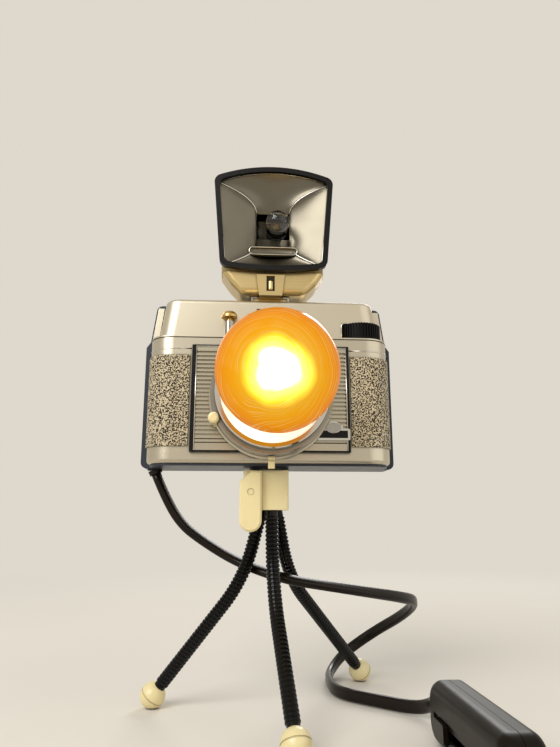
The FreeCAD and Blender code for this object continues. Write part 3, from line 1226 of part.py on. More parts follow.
knob_reach = number("lip_radius + knob_gap + knob_radius")
knob_turn = math.radians(number("knob_angle"))
knob_points = [("0", "0"), ("knob_radius", "0"), ("knob_radius", "knob_dome - knob_deep"),
               ("knob_radius - knob_dome / 3", "knob_dome / 3 - knob_deep"),
               ("knob_radius - knob_dome", "-knob_deep"), ("0", "-knob_deep")]
knob = turned("y", knob_points, str(round(knob_reach * math.cos(knob_turn), 6)), "barrel_y - knob_gap",
              f"lens_z + {round(knob_reach * math.sin(knob_turn), 6)}")
knob_band = hug("barrel_y - hug_front", "barrel_y + barrel_deep - hug_back", "knob_angle", "knob_radius")
node(fuse(knob_band, knob), "shutter_lever")
tab = radial_block("tab_angle", "hug_inner + tab_root", "hug_outer + tab_tall", "tab_wide / 2",
                   "barrel_y + tab_front", "barrel_y + tab_front + tab_deep")
tab_holder = hug("barrel_y + tab_band", "barrel_y + tab_band + tab_hug", "tab_angle", "tab_wide / 2")
node(fuse(tab_holder, tab), "aperture_lever")


# Rear shell, door, hinge and latch
def rear_outline(inset, near, far, corner):
    """The rear outline: upright sides, a shoulder at the seam and leaning upper sides."""
    half = f"(rear_wide / 2 - ({inset}))"
    shoulder = "(seam_z - seat_z - shoulder_drop)"
    top = f"(top_z - seat_z - ({inset}))"
    points = [(f"-{half}", f"rear_lift + {inset}"), (half, f"rear_lift + {inset}"), (half, shoulder),
              (f"{half} - shoulder_step", f"{shoulder} + shoulder_rise"),
              (f"{half} - shoulder_step - rear_lean", top), (f"rear_lean + shoulder_step - {half}", top),
              (f"shoulder_step - {half}", f"{shoulder} + shoulder_rise"),
              (f"-{half}", shoulder)]
    low = number(shoulder) / 2
    high = number(f"{shoulder} + 2 * shoulder_rise")
    return plate(points, near, far, [(corner, lambda point: point.z < low or point.z > high)], "seat_z")


middle = ("hinge_z - knuckle_tall / 2", "hinge_z + knuckle_tall / 2")
below = (f"{middle[0]} - door_gap - knuckle_tall", f"{middle[0]} - door_gap")
above = (f"{middle[1]} + door_gap", f"{middle[1]} + door_gap + knuckle_tall")
inner_round = "rear_round - rear_wall"
shell = cut(rear_outline("0", "split_y", "rear_y", "rear_round"),
            rear_outline("rear_wall", "split_y + rear_wall", "rear_y + over", inner_round),
            rear_outline("rear_rim + rear_wall", "split_y - over", "rear_y + over", inner_round))
stile = block(("pin_x + door_gap", "rear_wide / 2"), ("rear_y", "door_back"),
              ("hinge_z - stile_tall / 2", "hinge_z + stile_tall / 2"))
barrels = [rod("z", "pin_x", "door_back", "0", "knuckle_radius", *span) for span in (below, above)]
clear_middle = rod("z", "pin_x", "door_back", "0", "knuckle_radius + door_gap", f"{middle[0]} - door_gap",
                   f"{middle[1]} + door_gap")
pin_bore = rod("z", "pin_x", "door_back", "0", "hinge_pin + pin_fit", "hinge_z - bore_half", "hinge_z + bore_half")
gland_hole = rod("z", "gland_x", "gland_y", "0", "gland_stem + skin_gap", "seat_z - over",
                 "seat_z + rear_round + rear_wall")
frame_shell = cut(fuse(shell, cut(stile, clear_middle), *barrels), pin_bore, gland_hole)
node(frame_shell, "rear_shell")
door = fuse(rear_outline("0", "rear_y + door_gap", "door_back", "rear_round"),
            cut(rear_outline("rear_wall + door_gap", "rear_y + door_gap - door_lip", "rear_y + door_gap", inner_round),
                rear_outline("rear_wall * 2 + door_gap", "rear_y - door_lip - over", "rear_y + over", inner_round)))
through_door = ("rear_y - door_lip - over", "door_back + over")
beside = block(("pin_x", "rear_wide / 2 + over"), through_door, ("seat_z - over", "seam_z + door_notch"))
around = [rod("z", "pin_x", "door_back", "0", "knuckle_radius + door_gap",
              f"{low} - door_gap", f"{high} + door_gap") for low, high in (below, above)]
eye_hole = rod("y", "eye_x", "0", "eye_z", "eyepiece_radius + skin_gap", *through_door)
latch_slot = block(("latch_x - latch_neck / 2 - door_gap", "latch_x + latch_neck / 2 + door_gap"), through_door,
                   ("hinge_z - latch_neck - door_gap", "hinge_z + latch_neck + door_gap + latch_travel"))
door_knuckle = rod("z", "pin_x", "door_back", "0", "knuckle_radius", *middle)
door_solid = cut(fuse(cut(door, beside, *around), door_knuckle), pin_bore, eye_hole, latch_slot)
node(door_solid, "back_door")
node(rod("z", "pin_x", "door_back", "0", "hinge_pin", below[0], above[1]), "hinge_pin")
latch = fuse(rounded_box(("latch_x - latch_wide / 2", "latch_x + latch_wide / 2"),
                         ("door_back + door_gap / 2", "door_back + door_gap / 2 + latch_thick"),
                         ("hinge_z - latch_tall / 2", "hinge_z + latch_tall / 2"), "latch_corner",
                         lambda edge: along(edge, "y")),
             block(("latch_x - latch_neck / 2", "latch_x + latch_neck / 2"),
                   ("rear_y + door_gap / 2 - latch_hook", "door_back + over"),
                   ("hinge_z - latch_neck", "hinge_z + latch_neck")),
             block(("latch_x - latch_wide / 2", "latch_x + latch_wide / 2"),
                   ("rear_y + door_gap / 2 - latch_hook", "rear_y + door_gap / 2"),
                   ("hinge_z - latch_grip", "hinge_z + latch_grip")))
node(latch, "door_latch")
eyepiece = rod("y", "eye_x", "0", "eye_z", "eyepiece_radius", "rear_y - eyepiece_in", "door_back + eyepiece_out")
eye_bore = rod("y", "eye_x", "0", "eye_z", "eyepiece_radius - eyepiece_wall", "rear_y - eyepiece_in - over",
               "door_back + eyepiece_out + over")
node(cut(eyepiece, eye_bore), "finder_eyepiece")


# Lead: straight runs joined by tangent arcs
def lead_points(text):
    """Read a route from lines of three numbers."""
    return [FreeCAD.Vector(*[float(word) for word in line.split()]) for line in text.strip().splitlines()]


def arc_between(first, corner, last):
    """The arc from first to last that touches both runs meeting at the corner."""
    chord = (first + last) * 0.5
    half = (last - first).Length / 2
    side = (corner - first).Length
    cosine = half / side
    return Part.Arc(first, chord + (corner - chord) * (cosine / (1 + cosine)), last).toShape()


def route(points, label):
    """A wire of runs and arcs, with its length and radii."""
    edges = []
    here = points[0]
    radii = []
    for before, corner, after in zip(points, points[1:], points[2:]):
        back = before - corner
        ahead = after - corner
        reach = number("arc_share") * min(back.Length, ahead.Length)
        turn = math.pi - back.getAngle(ahead)
        radii.append(reach / math.tan(turn / 2))
        first = corner + FreeCAD.Vector(back).normalize() * reach
        last = corner + FreeCAD.Vector(ahead).normalize() * reach
        edges.append(Part.LineSegment(here, first).toShape())
        edges.append(arc_between(first, corner, last))
        here = last
    edges.append(Part.LineSegment(here, points[-1]).toShape())
    wire = Part.Wire(edges)
    print("route", label, "length", round(wire.Length, 1), "radii", [round(radius, 1) for radius in radii])
    return wire


def tube(wire, start, direction, radius, label):
    """A round tube along a wire."""
    ring_wire = Part.Wire([Part.makeCircle(radius, start, direction)])
    solid = wire.makePipeShell([ring_wire], True, False)
    share = solid.Volume / (math.pi * radius ** 2 * wire.Length)
    print("tube", label, "volume over section times length", round(share, 4))
    item = doc.addObject("Part::Feature", "Tube")
    item.Shape = solid
    return node(item, label)


lead_radius = number("lead_diameter / 2")
tilt = math.radians(number("gland_tilt"))
gland_at = vector("gland_x", "gland_y", "gland_low")
lead_way = FreeCAD.Vector(math.sin(tilt), 0, -math.cos(tilt))
lead_start = gland_at + lead_way * number("gland_nose")
nose = doc.addObject("Part::Cone", "Nose")
nose.setExpression("Radius1", bound("nose_root"))
nose.setExpression("Radius2", bound("nose_tip"))
nose.setExpression("Height", bound("gland_nose + gland_thick / 2"))
nose.Placement = FreeCAD.Placement(gland_at - lead_way * number("gland_thick / 2"),
                                   FreeCAD.Rotation(FreeCAD.Vector(0, 0, 1), lead_way))
under_shell = fuse(rod("z", "gland_x", "gland_y", "0", "gland_radius", "gland_low", "gland_top"), nose)
inside_shell = block(("gland_x - 2 * gland_radius", "gland_x + 2 * gland_radius"),
                     ("gland_y - 2 * gland_radius", "gland_y + 2 * gland_radius"),
                     ("gland_top", "gland_top + 2 * gland_radius"))
gland_core = rod("z", "gland_x", "gland_y", "0", "gland_stem", "gland_low", "gland_top + gland_rise")
node(fuse(cut(under_shell, inside_shell), gland_core), "cord_gland")

dimmer_in = vector("dimmer_mid", "dimmer_far", "dimmer_z")
upper = lead_points("""
-43.9 22.3 86.0
-31.7 26.1 76.7
-14.1 26.6 66.4
8.5 13.9 59.6
25.8 17.1 56.8
48.5 26.8 52.7
70.8 40.2 48.4
""")
loop = lead_points("""
83.7 58.4 44.4
80.2 79.2 34.3
67.2 98.5 22.7
48.2 97.9 11.0
37.6 83.8 3.4
34.7 63.7 3.8
35.5 42.2 3.3
51.9 26.9 3.3
67.6 12.6 3.3
72.3 1.9 7.2
""")
upper_points = [lead_start, lead_start + lead_way * number("gland_lead")] + upper + loop
upper_points += [dimmer_in + FreeCAD.Vector(0, 10.5, 0), dimmer_in]
upper_wire = route(upper_points, "lead_upper")
tube(upper_wire, lead_start, lead_way, lead_radius, "lead_upper")

# Inner lead from the gland to the lampholder
inner_start = gland_at + FreeCAD.Vector(0, 0, number("gland_thick + gland_rise"))
holder_tail = vector("0", "plate_y + holder_back + boss_long", "lens_z")
inner_points = [inner_start, inner_start + FreeCAD.Vector(0, 0, 9.6), inner_start + FreeCAD.Vector(5.9, 0.1, 18.1),
                inner_start + FreeCAD.Vector(17.4, 0.4, 23.1), holder_tail + FreeCAD.Vector(-27, 15.8, -0.8),
                holder_tail + FreeCAD.Vector(-18.2, 16.2, -0.2), holder_tail + FreeCAD.Vector(-9.3, 16.1, 0),
                holder_tail + FreeCAD.Vector(-3.4, 12.7, 0), holder_tail + FreeCAD.Vector(0, 6.8, 0), holder_tail]
inner_wire = route(inner_points, "inner_lead")
tube(inner_wire, inner_start, FreeCAD.Vector(0, 0, 1), number("inner_diameter / 2"), "inner_lead")

# Dimmer: two halves on a long narrow edge, with a slider in the left half
dimmer_y = ("near_y", "dimmer_far")


def dimmer_half(low, high, hollow_low, hollow_high, face, rounding):
    """One half of the dimmer and its hollow: four corners rounded as seen from the side, then the
    edges round its outer face, which is 0 or the half's thickness along X."""
    shape = rounded_box((low, high), dimmer_y, ("0", "dimmer_tall"), "dimmer_round",
                        lambda edge: along(edge, "x"))
    soften(shape, shape.Tip, rounding, lambda edge: all(abs(v.Point.x - face) < 0.001 for v in edge.Vertexes))
    hollow = block((hollow_low, hollow_high), ("near_y + dimmer_end", "dimmer_far - dimmer_end"),
                   ("dimmer_rail", "dimmer_tall - dimmer_rail"))
    return shape, hollow


cover_high = "dimmer_mid - dimmer_seam / 2"
base_low = "dimmer_mid + dimmer_seam / 2"
track = ("dimmer_far - track_start - slider_track", "dimmer_far - track_start")
cover_shape, cover_hollow = dimmer_half("dimmer_left", cover_high, "dimmer_left + dimmer_wall", cover_high,
                                        0.0, "dimmer_edge")
track_recess = block(("dimmer_left - over", "dimmer_left + recess_deep"),
                     (f"{track[0]} - recess_end", f"{track[1]} + recess_end"),
                     ("track_z - slider_tall / 2 - recess_side", "track_z + slider_tall / 2 + recess_side"))
track_slot = block(("dimmer_left - over", "dimmer_left + dimmer_wall + over"), track,
                   ("track_z - slider_neck - door_gap", "track_z + slider_neck + door_gap"))
node(cut(cover_shape, cover_hollow, track_recess, track_slot), "dimmer_cover")
base_shape, base_hollow = dimmer_half(base_low, "dimmer_right", base_low, "dimmer_right - dimmer_wall",
                                      number(f"dimmer_right - ({base_low})"), "dimmer_far_edge")
node(cut(base_shape, base_hollow), "dimmer_base")
button = rounded_box(("dimmer_left + recess_deep - slider_out", "dimmer_left + recess_deep - slider_lift"),
                     ("slider_mid - slider_long / 2", "slider_mid + slider_long / 2"),
                     ("track_z - slider_tall / 2", "track_z + slider_tall / 2"), "slider_edge",
                     lambda edge: along(edge, "x"))
hook = block(("dimmer_left", "dimmer_left + dimmer_wall + slider_hook"),
             ("slider_mid - slider_long / 4", "slider_mid + slider_long / 4"),
             ("track_z - slider_neck", "track_z + slider_neck"))
node(fuse(button, hook), "dimmer_slider")
node(taper("y", "dimmer_mid", "0", "dimmer_z", "relief_tip", "relief_root", "near_y - relief_long", "near_y"),
     "dimmer_relief")


# Coil of the length that is put away: two layers, spiralling in and then out
coil_whole = int(number("coil_turns"))
arcs_per_turn = 4
coil_outer = number("coil_middle + coil_pitch * coil_turns / 2")
coil_centre = vector("dimmer_mid", "coil_y", "0") - FreeCAD.Vector(coil_outer, 0, 0)
coil_high = number("lead_diameter / 2 + coil_lift + coil_layer")


def coil_line(turns):
    """Place on the coil's line after some turns; the spiral goes in, changes layer over its
    middle half turn and comes out again."""
    middle = coil_whole
    away = abs(turns - middle)
    inward = middle - away if away > 0.25 else middle - 0.125 - away * away * 2
    reach = coil_outer - number("coil_pitch") * inward
    climb = min(1.0, max(0.0, (turns - middle + 0.25) / 0.5))
    ease = climb * climb * (3 - 2 * climb)
    angle = -2 * math.pi * turns
    return coil_centre + FreeCAD.Vector(reach * math.cos(angle), reach * math.sin(angle),
                                        coil_high - number("coil_layer") * ease)


def biarc(first, first_way, last, last_way):
    """Two tangent arcs from one place and direction to another."""
    gap = last - first
    both = first_way + last_way
    spread = 2 * (1 - first_way.dot(last_way))
    reach = (-gap.dot(both) + math.sqrt(gap.dot(both) ** 2 + spread * gap.dot(gap))) / spread
    ahead = first + first_way * reach
    behind = last - last_way * reach
    join = (ahead + behind) * 0.5
    return [arc_between(first, ahead, join), arc_between(join, behind, last)]


coil_steps = 2 * coil_whole * arcs_per_turn
coil_edges = []
tiny = 0.0005
marks = []
for step in range(coil_steps + 1):
    turns = step / arcs_per_turn
    way = (coil_line(turns + tiny) - coil_line(turns - tiny)).normalize()
    if step in (0, coil_steps):
        way = FreeCAD.Vector(0, -1, 0)
    marks.append((coil_line(turns), way))
for (first, first_way), (last, last_way) in zip(marks, marks[1:]):
    coil_edges += biarc(first, first_way, last, last_way)
coil_wire = Part.Wire(coil_edges)
tube(coil_wire, marks[0][0], marks[0][1], lead_radius, "lead_coil")
spots = coil_wire.discretize(Distance=2.0)
turn_length = 2 * math.pi * number("coil_middle")
spacing = coil_wire.Length / (len(spots) - 1)
apart = int(turn_length * 0.4 / spacing)
nearest = min((one - two).Length for index, one in enumerate(spots) for two in spots[index + apart:])
print("coil length", round(coil_wire.Length, 1), "least gap to itself", round(nearest - 2 * lead_radius, 2))

# Lower lead: from the dimmer down to the coil, and from the coil to the plug
lower_start = vector("dimmer_mid", "near_y - relief_long", "dimmer_z")
coil_start = marks[0][0]
lower_points = [lower_start, lower_start + FreeCAD.Vector(0, -11, 0),
                coil_start + FreeCAD.Vector(0, 11, 0), coil_start]
lower_wire = route(lower_points, "lead_lower")
tube(lower_wire, lower_start, FreeCAD.Vector(0, -1, 0), lead_radius, "lead_lower")
coil_end = marks[-1][0]
plug_in = vector("plug_x + relief_long", "plug_y", "plug_z")
end_points = [coil_end, coil_end + FreeCAD.Vector(0, -15, 0), coil_end + FreeCAD.Vector(1.4, -36, 0.5),
              plug_in + FreeCAD.Vector(31.0, 14.2, -2), plug_in + FreeCAD.Vector(17, 0, 0), plug_in]
end_wire = route(end_points, "lead_end")
tube(end_wire, coil_end, FreeCAD.Vector(0, -1, 0), lead_radius, "lead_end")
total = upper_wire.Length + lower_wire.Length + coil_wire.Length + end_wire.Length
print("lead in all", round(total, 1))

# Plug: flat body with a tapered relief and two round pins
plug_body = rounded_box(("plug_face", "plug_x"), ("plug_y - plug_wide / 2", "plug_y + plug_wide / 2"),
                        ("0", "plug_thick"), "plug_round", lambda edge: along(edge, "z"))
plug_relief = taper("x", "0", "plug_y", "plug_z", "relief_root", "relief_tip", "plug_x", "plug_x + relief_long")
prongs = []
prong_holes = []
for side in (-1, 1):
    prong_y = f"plug_y + {side} * prong_space / 2"
    line = ("x", "0", prong_y, "plug_z")
    prong_holes.append(rod(*line, "prong_sleeve", "plug_face - over", "plug_face + prong_set"))
    covered = rod(*line, "prong_sleeve", "plug_face - prong_cover", "plug_face + prong_set")
    bare = rod(*line, "prong_radius", "prong_end", "plug_face - prong_cover")
    tip = ball("prong_end", prong_y, "plug_z", "prong_radius")
    prongs.append(fuse(covered, bare, tip))
node(cut(fuse(plug_body, plug_relief), *prong_holes), "plug_body")
pins = doc.addObject("Part::Compound", "Prongs")
pins.Links = prongs
node(pins, "plug_pins")

# Check every object, then write each sub-part
doc.removeObject("Probe")
doc.recompute()
for item in doc.Objects:
    if "Invalid" in item.State or "Error" in item.State:
        raise SystemExit("failed object: " + item.Name + " " + item.Label)
for item in nodes:
    if item.Shape.isNull() or not item.Shape.isValid():
        raise SystemExit("bad shape: " + item.Label)
    item.Shape.exportStep("parts/" + item.Label + ".step")
    box = item.Shape.BoundBox
    corners = (box.XMin, box.XMax, box.YMin, box.YMax, box.ZMin, box.ZMax)
    print("%-18s solids %d volume %9.1f" % (item.Label, len(item.Shape.Solids), item.Shape.Volume),
          " ".join("%7.1f" % corner for corner in corners))
print("nodes", len(nodes))
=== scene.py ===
"""Looks of the camera lamp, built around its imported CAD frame.

Shapes are given in millimetres, and mm() or MM turns them into metres. Camera, lights and floor are in
metres. The scale of a noise is per metre.
"""

import math

import bpy
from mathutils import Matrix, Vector


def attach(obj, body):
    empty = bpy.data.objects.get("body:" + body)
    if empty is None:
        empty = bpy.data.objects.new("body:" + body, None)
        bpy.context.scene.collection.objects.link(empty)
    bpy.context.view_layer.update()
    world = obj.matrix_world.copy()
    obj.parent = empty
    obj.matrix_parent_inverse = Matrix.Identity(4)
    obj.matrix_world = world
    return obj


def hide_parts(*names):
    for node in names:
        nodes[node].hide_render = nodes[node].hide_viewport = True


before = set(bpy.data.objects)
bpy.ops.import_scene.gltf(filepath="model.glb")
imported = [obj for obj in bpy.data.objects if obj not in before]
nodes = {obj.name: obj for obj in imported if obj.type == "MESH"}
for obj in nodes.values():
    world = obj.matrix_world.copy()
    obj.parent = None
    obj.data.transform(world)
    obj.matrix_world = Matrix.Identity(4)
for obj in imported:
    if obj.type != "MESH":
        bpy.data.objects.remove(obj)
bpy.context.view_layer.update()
scene = bpy.context.scene
MM = 0.001


# Camera at the photograph's viewing angle
def add_camera():
    """A camera low before the lamp, looking up at it."""
    lens_data = bpy.data.cameras.new("View")
    lens_data.sensor_width = 36.0
    lens_data.lens = 29.84
    lens_data.clip_start = 0.01
    view = bpy.data.objects.new("View", lens_data)
    view.location = (-0.0135, -0.2952, 0.0852)
    tilt_up, turn_right = 13.69, 3.52
    view.rotation_euler = (math.radians(90 + tilt_up), 0, -math.radians(turn_right))
    scene.collection.objects.link(view)
    scene.camera = view


add_camera()


# Places, colours and meshes
def mm(*place):
    """A place given in millimetres."""
    return Vector(place) * MM


def paint(red, green, blue):
    """A colour as the eye reads it, from 0 to 255, turned into the linear values that shaders want."""
    linear = []
    for part in (red, green, blue):
        share = part / 255
        linear.append(((share + 0.055) / 1.055) ** 2.4 if part > 10 else share / 12.92)
    return (*linear, 1.0)


def ease(value):
    """Clamp to 0..1 with soft ends."""
    value = min(1.0, max(0.0, value))
    return value * value * (3 - 2 * value)


def circle(steps):
    """Angles in equal steps once round."""
    return [2 * math.pi * step / steps for step in range(steps)]


def piece(name, places, faces, look, body):
    """A smooth mesh piece with its material, riding on a body."""
    mesh = bpy.data.meshes.new(name)
    mesh.from_pydata([tuple(place) for place in places], [], faces)
    mesh.polygons.foreach_set("use_smooth", [True] * len(mesh.polygons))
    mesh.update()
    made = bpy.data.objects.new(name, mesh)
    made.data.materials.append(look)
    scene.collection.objects.link(made)
    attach(made, body)
    return made


def rings_to_faces(count, around, closed_ends=True, loop=False):
    """Faces that join rings of points, one after another; a loop joins the last ring to the first."""
    faces = []
    for ring in range(count if loop else count - 1):
        one = ring * around
        two = ((ring + 1) % count) * around
        for step in range(around):
            after = (step + 1) % around
            faces.append((one + step, one + after, two + after, two + step))
    if closed_ends and not loop:
        faces.append(tuple(reversed(range(around))))
        faces.append(tuple((count - 1) * around + step for step in range(around)))
    return faces


def bead(name, line, radius_mm, look, body, closed=False, upright=(0, 1, 0)):
    """A thin round bead along a line of places; upright is a way that the line never takes."""
    around = 8
    count = len(line)
    places = []
    for index, spot in enumerate(line):
        before = line[index - 1] if closed or index else spot
        after = line[(index + 1) % count] if closed or index < count - 1 else spot
        ahead = (after - before).normalized()
        across = ahead.cross(Vector(upright)).normalized()
        up = across.cross(ahead)
        for angle in circle(around):
            places.append(spot + radius_mm * MM * (math.cos(angle) * across + math.sin(angle) * up))
    return piece(name, places, rings_to_faces(count, around, not closed, closed), look, body)


def rectangle(left, right, low, high):
    """The four corners of a rectangle, in order from the low left one."""
    return [(left, low), (right, low), (right, high), (left, high)]


def flat_plate(name, outline, near, far, look, body="camera", round_mm=0.15):
    """A flat plate with soft edges; outline holds pairs of x and z, near and far are its faces along y."""
    count = len(outline)
    places = [mm(x, y, z) for y in (near, far) for x, z in outline]
    faces = [tuple(range(count)), tuple(reversed(range(count, 2 * count)))]
    for step in range(count):
        after = (step + 1) % count
        faces.append((step, count + step, count + after, after))
    plate = piece(name, places, faces, look, body)
    bevel = plate.modifiers.new("Soft edges", "BEVEL")
    bevel.width = round_mm * MM
    bevel.segments = 3
    bevel.limit_method = "ANGLE"
    bevel.angle_limit = math.radians(30)
    bevel.harden_normals = True
    return plate


# Shader nodes
def fill(tree, node, inputs):
    """Fill a node's inputs, each with a value or with the output of another node."""
    for name, value in inputs.items():
        if isinstance(value, bpy.types.NodeSocket):
            tree.links.new(value, node.inputs[name])
        else:
            node.inputs[name].default_value = value


def wire(tree, kind, inputs=None, **settings):
    """Add a shader node with its settings and inputs."""
    node = tree.nodes.new("ShaderNode" + kind)
    for name, value in settings.items():
        setattr(node, name, value)
    fill(tree, node, inputs or {})
    return node


def object_place(tree):
    """Places on the piece, in its own coordinates."""
    return wire(tree, "TexCoord").outputs["Object"]


def maths(tree, operation, one, other, clamp=False):
    """The result of one sum with two values."""
    return wire(tree, "Math", {0: one, 1: other}, operation=operation, use_clamp=clamp).outputs[0]


def vectors(tree, operation, one, other):
    """The result of one sum with two vectors."""
    return wire(tree, "VectorMath", {0: one, 1: other}, operation=operation).outputs[0]


def scaled(tree, vector, size):
    """A vector or colour times a value."""
    return wire(tree, "VectorMath", {0: vector, "Scale": size}, operation="SCALE").outputs[0]


def length(tree, vector):
    """How long a vector is."""
    return wire(tree, "VectorMath", {0: vector}, operation="LENGTH").outputs["Value"]


def cloud(tree, place, scale, detail, output="Fac", **more):
    """Soft noise over places."""
    return wire(tree, "TexNoise", {"Vector": place, "Scale": scale, "Detail": detail, **more}).outputs[output]


def spread(tree, value, low, high, to_low=0.0, to_high=1.0):
    """A value drawn from one span out to another and held inside it."""
    spans = {"Value": value, "From Min": low, "From Max": high, "To Min": to_low, "To Max": to_high}
    return wire(tree, "MapRange", spans, clamp=True).outputs[0]


def mix_colour(tree, share, first, second, blend="MIX"):
    """The first colour with a share of the second in it."""
    return wire(tree, "Mix", {0: share, 6: first, 7: second}, data_type="RGBA", blend_type=blend).outputs[2]


def bump(tree, height, strength, depth_mm):
    """A normal that follows a height."""
    return wire(tree, "Bump", {"Height": height, "Strength": strength, "Distance": depth_mm * MM}).outputs[0]


def effect(name, inputs, outputs):
    """A shader node group with named sockets, its given inputs and its node for what goes out."""
    tree = bpy.data.node_groups.new(name, "ShaderNodeTree")
    for label, kind, value in inputs:
        socket = tree.interface.new_socket(name=label, in_out="INPUT", socket_type="NodeSocket" + kind)
        socket.default_value = value
    for label, kind in outputs:
        tree.interface.new_socket(name=label, in_out="OUTPUT", socket_type="NodeSocket" + kind)
    return tree, tree.nodes.new("NodeGroupInput").outputs, tree.nodes.new("NodeGroupOutput")


def mottle_group():
    """Two colours that drift into each other."""
    tree, given, out = effect("Mottle", [("First", "Color", (1, 1, 1, 1)), ("Second", "Color", (0, 0, 0, 1)),
                                         ("Scale", "Float", 60.0), ("Contrast", "Float", 1.0)],
                              [("Colour", "Color"), ("Value", "Float")])
    middle = 0.5
    centred = maths(tree, "SUBTRACT", cloud(tree, object_place(tree), given["Scale"], 5.0), middle)
    swing = maths(tree, "MULTIPLY", centred, given["Contrast"])
    share = maths(tree, "ADD", swing, middle, clamp=True)
    fill(tree, out, {"Colour": mix_colour(tree, share, given["First"], given["Second"]), "Value": share})
    return tree


def grain_group():
    """Fine and broad noise stretched along an axis, as brushing leaves it."""
    tree, given, out = effect("Brushed grain",
                              [("Stretch", "Vector", (1.0, 1.0, 1.0)), ("Scale", "Float", 900.0)],
                              [("Height", "Float"), ("Value", "Float")])
    broader = 0.17
    place = vectors(tree, "MULTIPLY", object_place(tree), given["Stretch"])
    fine = cloud(tree, place, given["Scale"], 3.0)
    broad = cloud(tree, place, maths(tree, "MULTIPLY", given["Scale"], broader), 2.0)
    both = maths(tree, "ADD", fine, broad)
    fill(tree, out, {"Height": maths(tree, "MULTIPLY", both, 0.5), "Value": broad})
    return tree


def mask_out(tree, given, out, first, second):
    """Send out the product of two shares and the given amount as the mask."""
    both = maths(tree, "MULTIPLY", first, second)
    fill(tree, out, {"Mask": maths(tree, "MULTIPLY", both, given["Amount"], clamp=True)})
    return tree


def wear_group():
    """Mask of rubbed edges, broken up by noise."""
    tree, given, out = effect("Edge wear", [("Amount", "Float", 0.5), ("Scale", "Float", 250.0)],
                              [("Mask", "Float")])
    edge = spread(tree, wire(tree, "NewGeometry").outputs["Pointiness"], 0.52, 0.6)
    spots = spread(tree, cloud(tree, object_place(tree), given["Scale"], 4.0), 0.42, 0.62)
    return mask_out(tree, given, out, edge, spots)


def dust_group():
    """Mask of dust on what faces up."""
    tree, given, out = effect("Dust", [("Amount", "Float", 0.3), ("Scale", "Float", 700.0)],
                              [("Mask", "Float")])
    facing_up = wire(tree, "SeparateXYZ", {0: wire(tree, "NewGeometry").outputs["Normal"]}).outputs["Z"]
    level = spread(tree, facing_up, 0.2, 1.0)
    spots = spread(tree, cloud(tree, object_place(tree), given["Scale"], 6.0), 0.4, 0.75)
    return mask_out(tree, given, out, level, spots)


def painted_shade_group():
    """Mask of painted shade that darkens grooves and inner corners."""
    tree, given, out = effect("Painted corner shade", [("Amount", "Float", 0.8), ("Reach", "Float", 0.0016)],
                              [("Mask", "Float")])
    open_share = wire(tree, "AmbientOcclusion", {"Distance": given["Reach"]}, samples=8).outputs["AO"]
    closed = spread(tree, open_share, 0.35, 0.92, 1.0, 0.0)
    uneven = spread(tree, cloud(tree, object_place(tree), 300.0, 3.0), 0.0, 1.0, 0.7, 1.1)
    return mask_out(tree, given, out, closed, uneven)


mottle = mottle_group()
painted_shade = painted_shade_group()
grain = grain_group()
wear = wear_group()
dust = dust_group()


def use(tree, group, inputs):
    """Place an effect in a material."""
    node = tree.nodes.new("ShaderNodeGroup")
    node.node_tree = group
    fill(tree, node, inputs)
    return node.outputs


# Materials
def blank(name):
    """A material with its tree and its shader."""
    look = bpy.data.materials.new(name)
    look.use_nodes = True
    tree = look.node_tree
    return look, tree, tree.nodes["Principled BSDF"]


def metal(name, light, dark, rough, stretch, scale, depth_mm, worn=0.0, dusty=0.06, shade_amount=0.85):
    """Satin or polished metal with a grain, rubbed edges, a little dust and painted shade in its corners."""
    look, tree, shader = blank(name)
    lines = use(tree, grain, {"Stretch": stretch, "Scale": scale})
    tone = use(tree, mottle, {"First": paint(*light), "Second": paint(*dark), "Scale": 14.0, "Contrast": 0.9})
    lined = spread(tree, lines["Value"], 0.42, 0.72, 0.0, 0.22)
    colour = mix_colour(tree, lined, tone["Colour"], paint(*dark))
    rubbed = use(tree, wear, {"Amount": worn})["Mask"]
    colour = mix_colour(tree, rubbed, colour, paint(236, 230, 214))
    grey = use(tree, dust, {"Amount": dusty})["Mask"]
    colour = mix_colour(tree, grey, colour, paint(170, 165, 152))
    # Painted shade: grooves and inner corners darken towards a dark brown.
    shaded = use(tree, painted_shade, {"Amount": shade_amount, "Reach": 1.6 * MM})["Mask"]
    colour = mix_colour(tree, shaded, colour, paint(46, 40, 30))
    fill(tree, shader, {"Metallic": 1.0, "Base Color": colour,
                        "Roughness": spread(tree, lines["Value"], 0.0, 1.0, *rough),
                        "Normal": bump(tree, lines["Height"], 0.4, depth_mm)})
    return look


def plastic(name, light, dark, rough, scale, depth_mm, shine, dusty, coat=0.0, shade_amount=0.0, shade_colour=(96, 78, 48)):
    """Moulded plastic or paint with a faint texture, dust and, where an amount is given, painted shade in its
    corners.
    """
    look, tree, shader = blank(name)
    tone = use(tree, mottle, {"First": paint(*light), "Second": paint(*dark), "Scale": 55.0, "Contrast": 1.6})
    grey = use(tree, dust, {"Amount": dusty})["Mask"]
    colour = mix_colour(tree, grey, tone["Colour"], paint(150, 142, 128))
    # Painted shade: grooves and inner corners darken towards the given colour.
    if shade_amount:
        shaded = use(tree, painted_shade, {"Amount": shade_amount, "Reach": 1.2 * MM})["Mask"]
        colour = mix_colour(tree, shaded, colour, paint(*shade_colour))
    lines = use(tree, grain, {"Scale": scale})
    fill(tree, shader, {"Coat Weight": coat, "Coat Roughness": 0.12, "Specular IOR Level": shine,
                        "Base Color": colour, "Roughness": spread(tree, lines["Value"], 0.0, 1.0, *rough),
                        "Normal": bump(tree, lines["Height"], 0.35, depth_mm)})
    return look


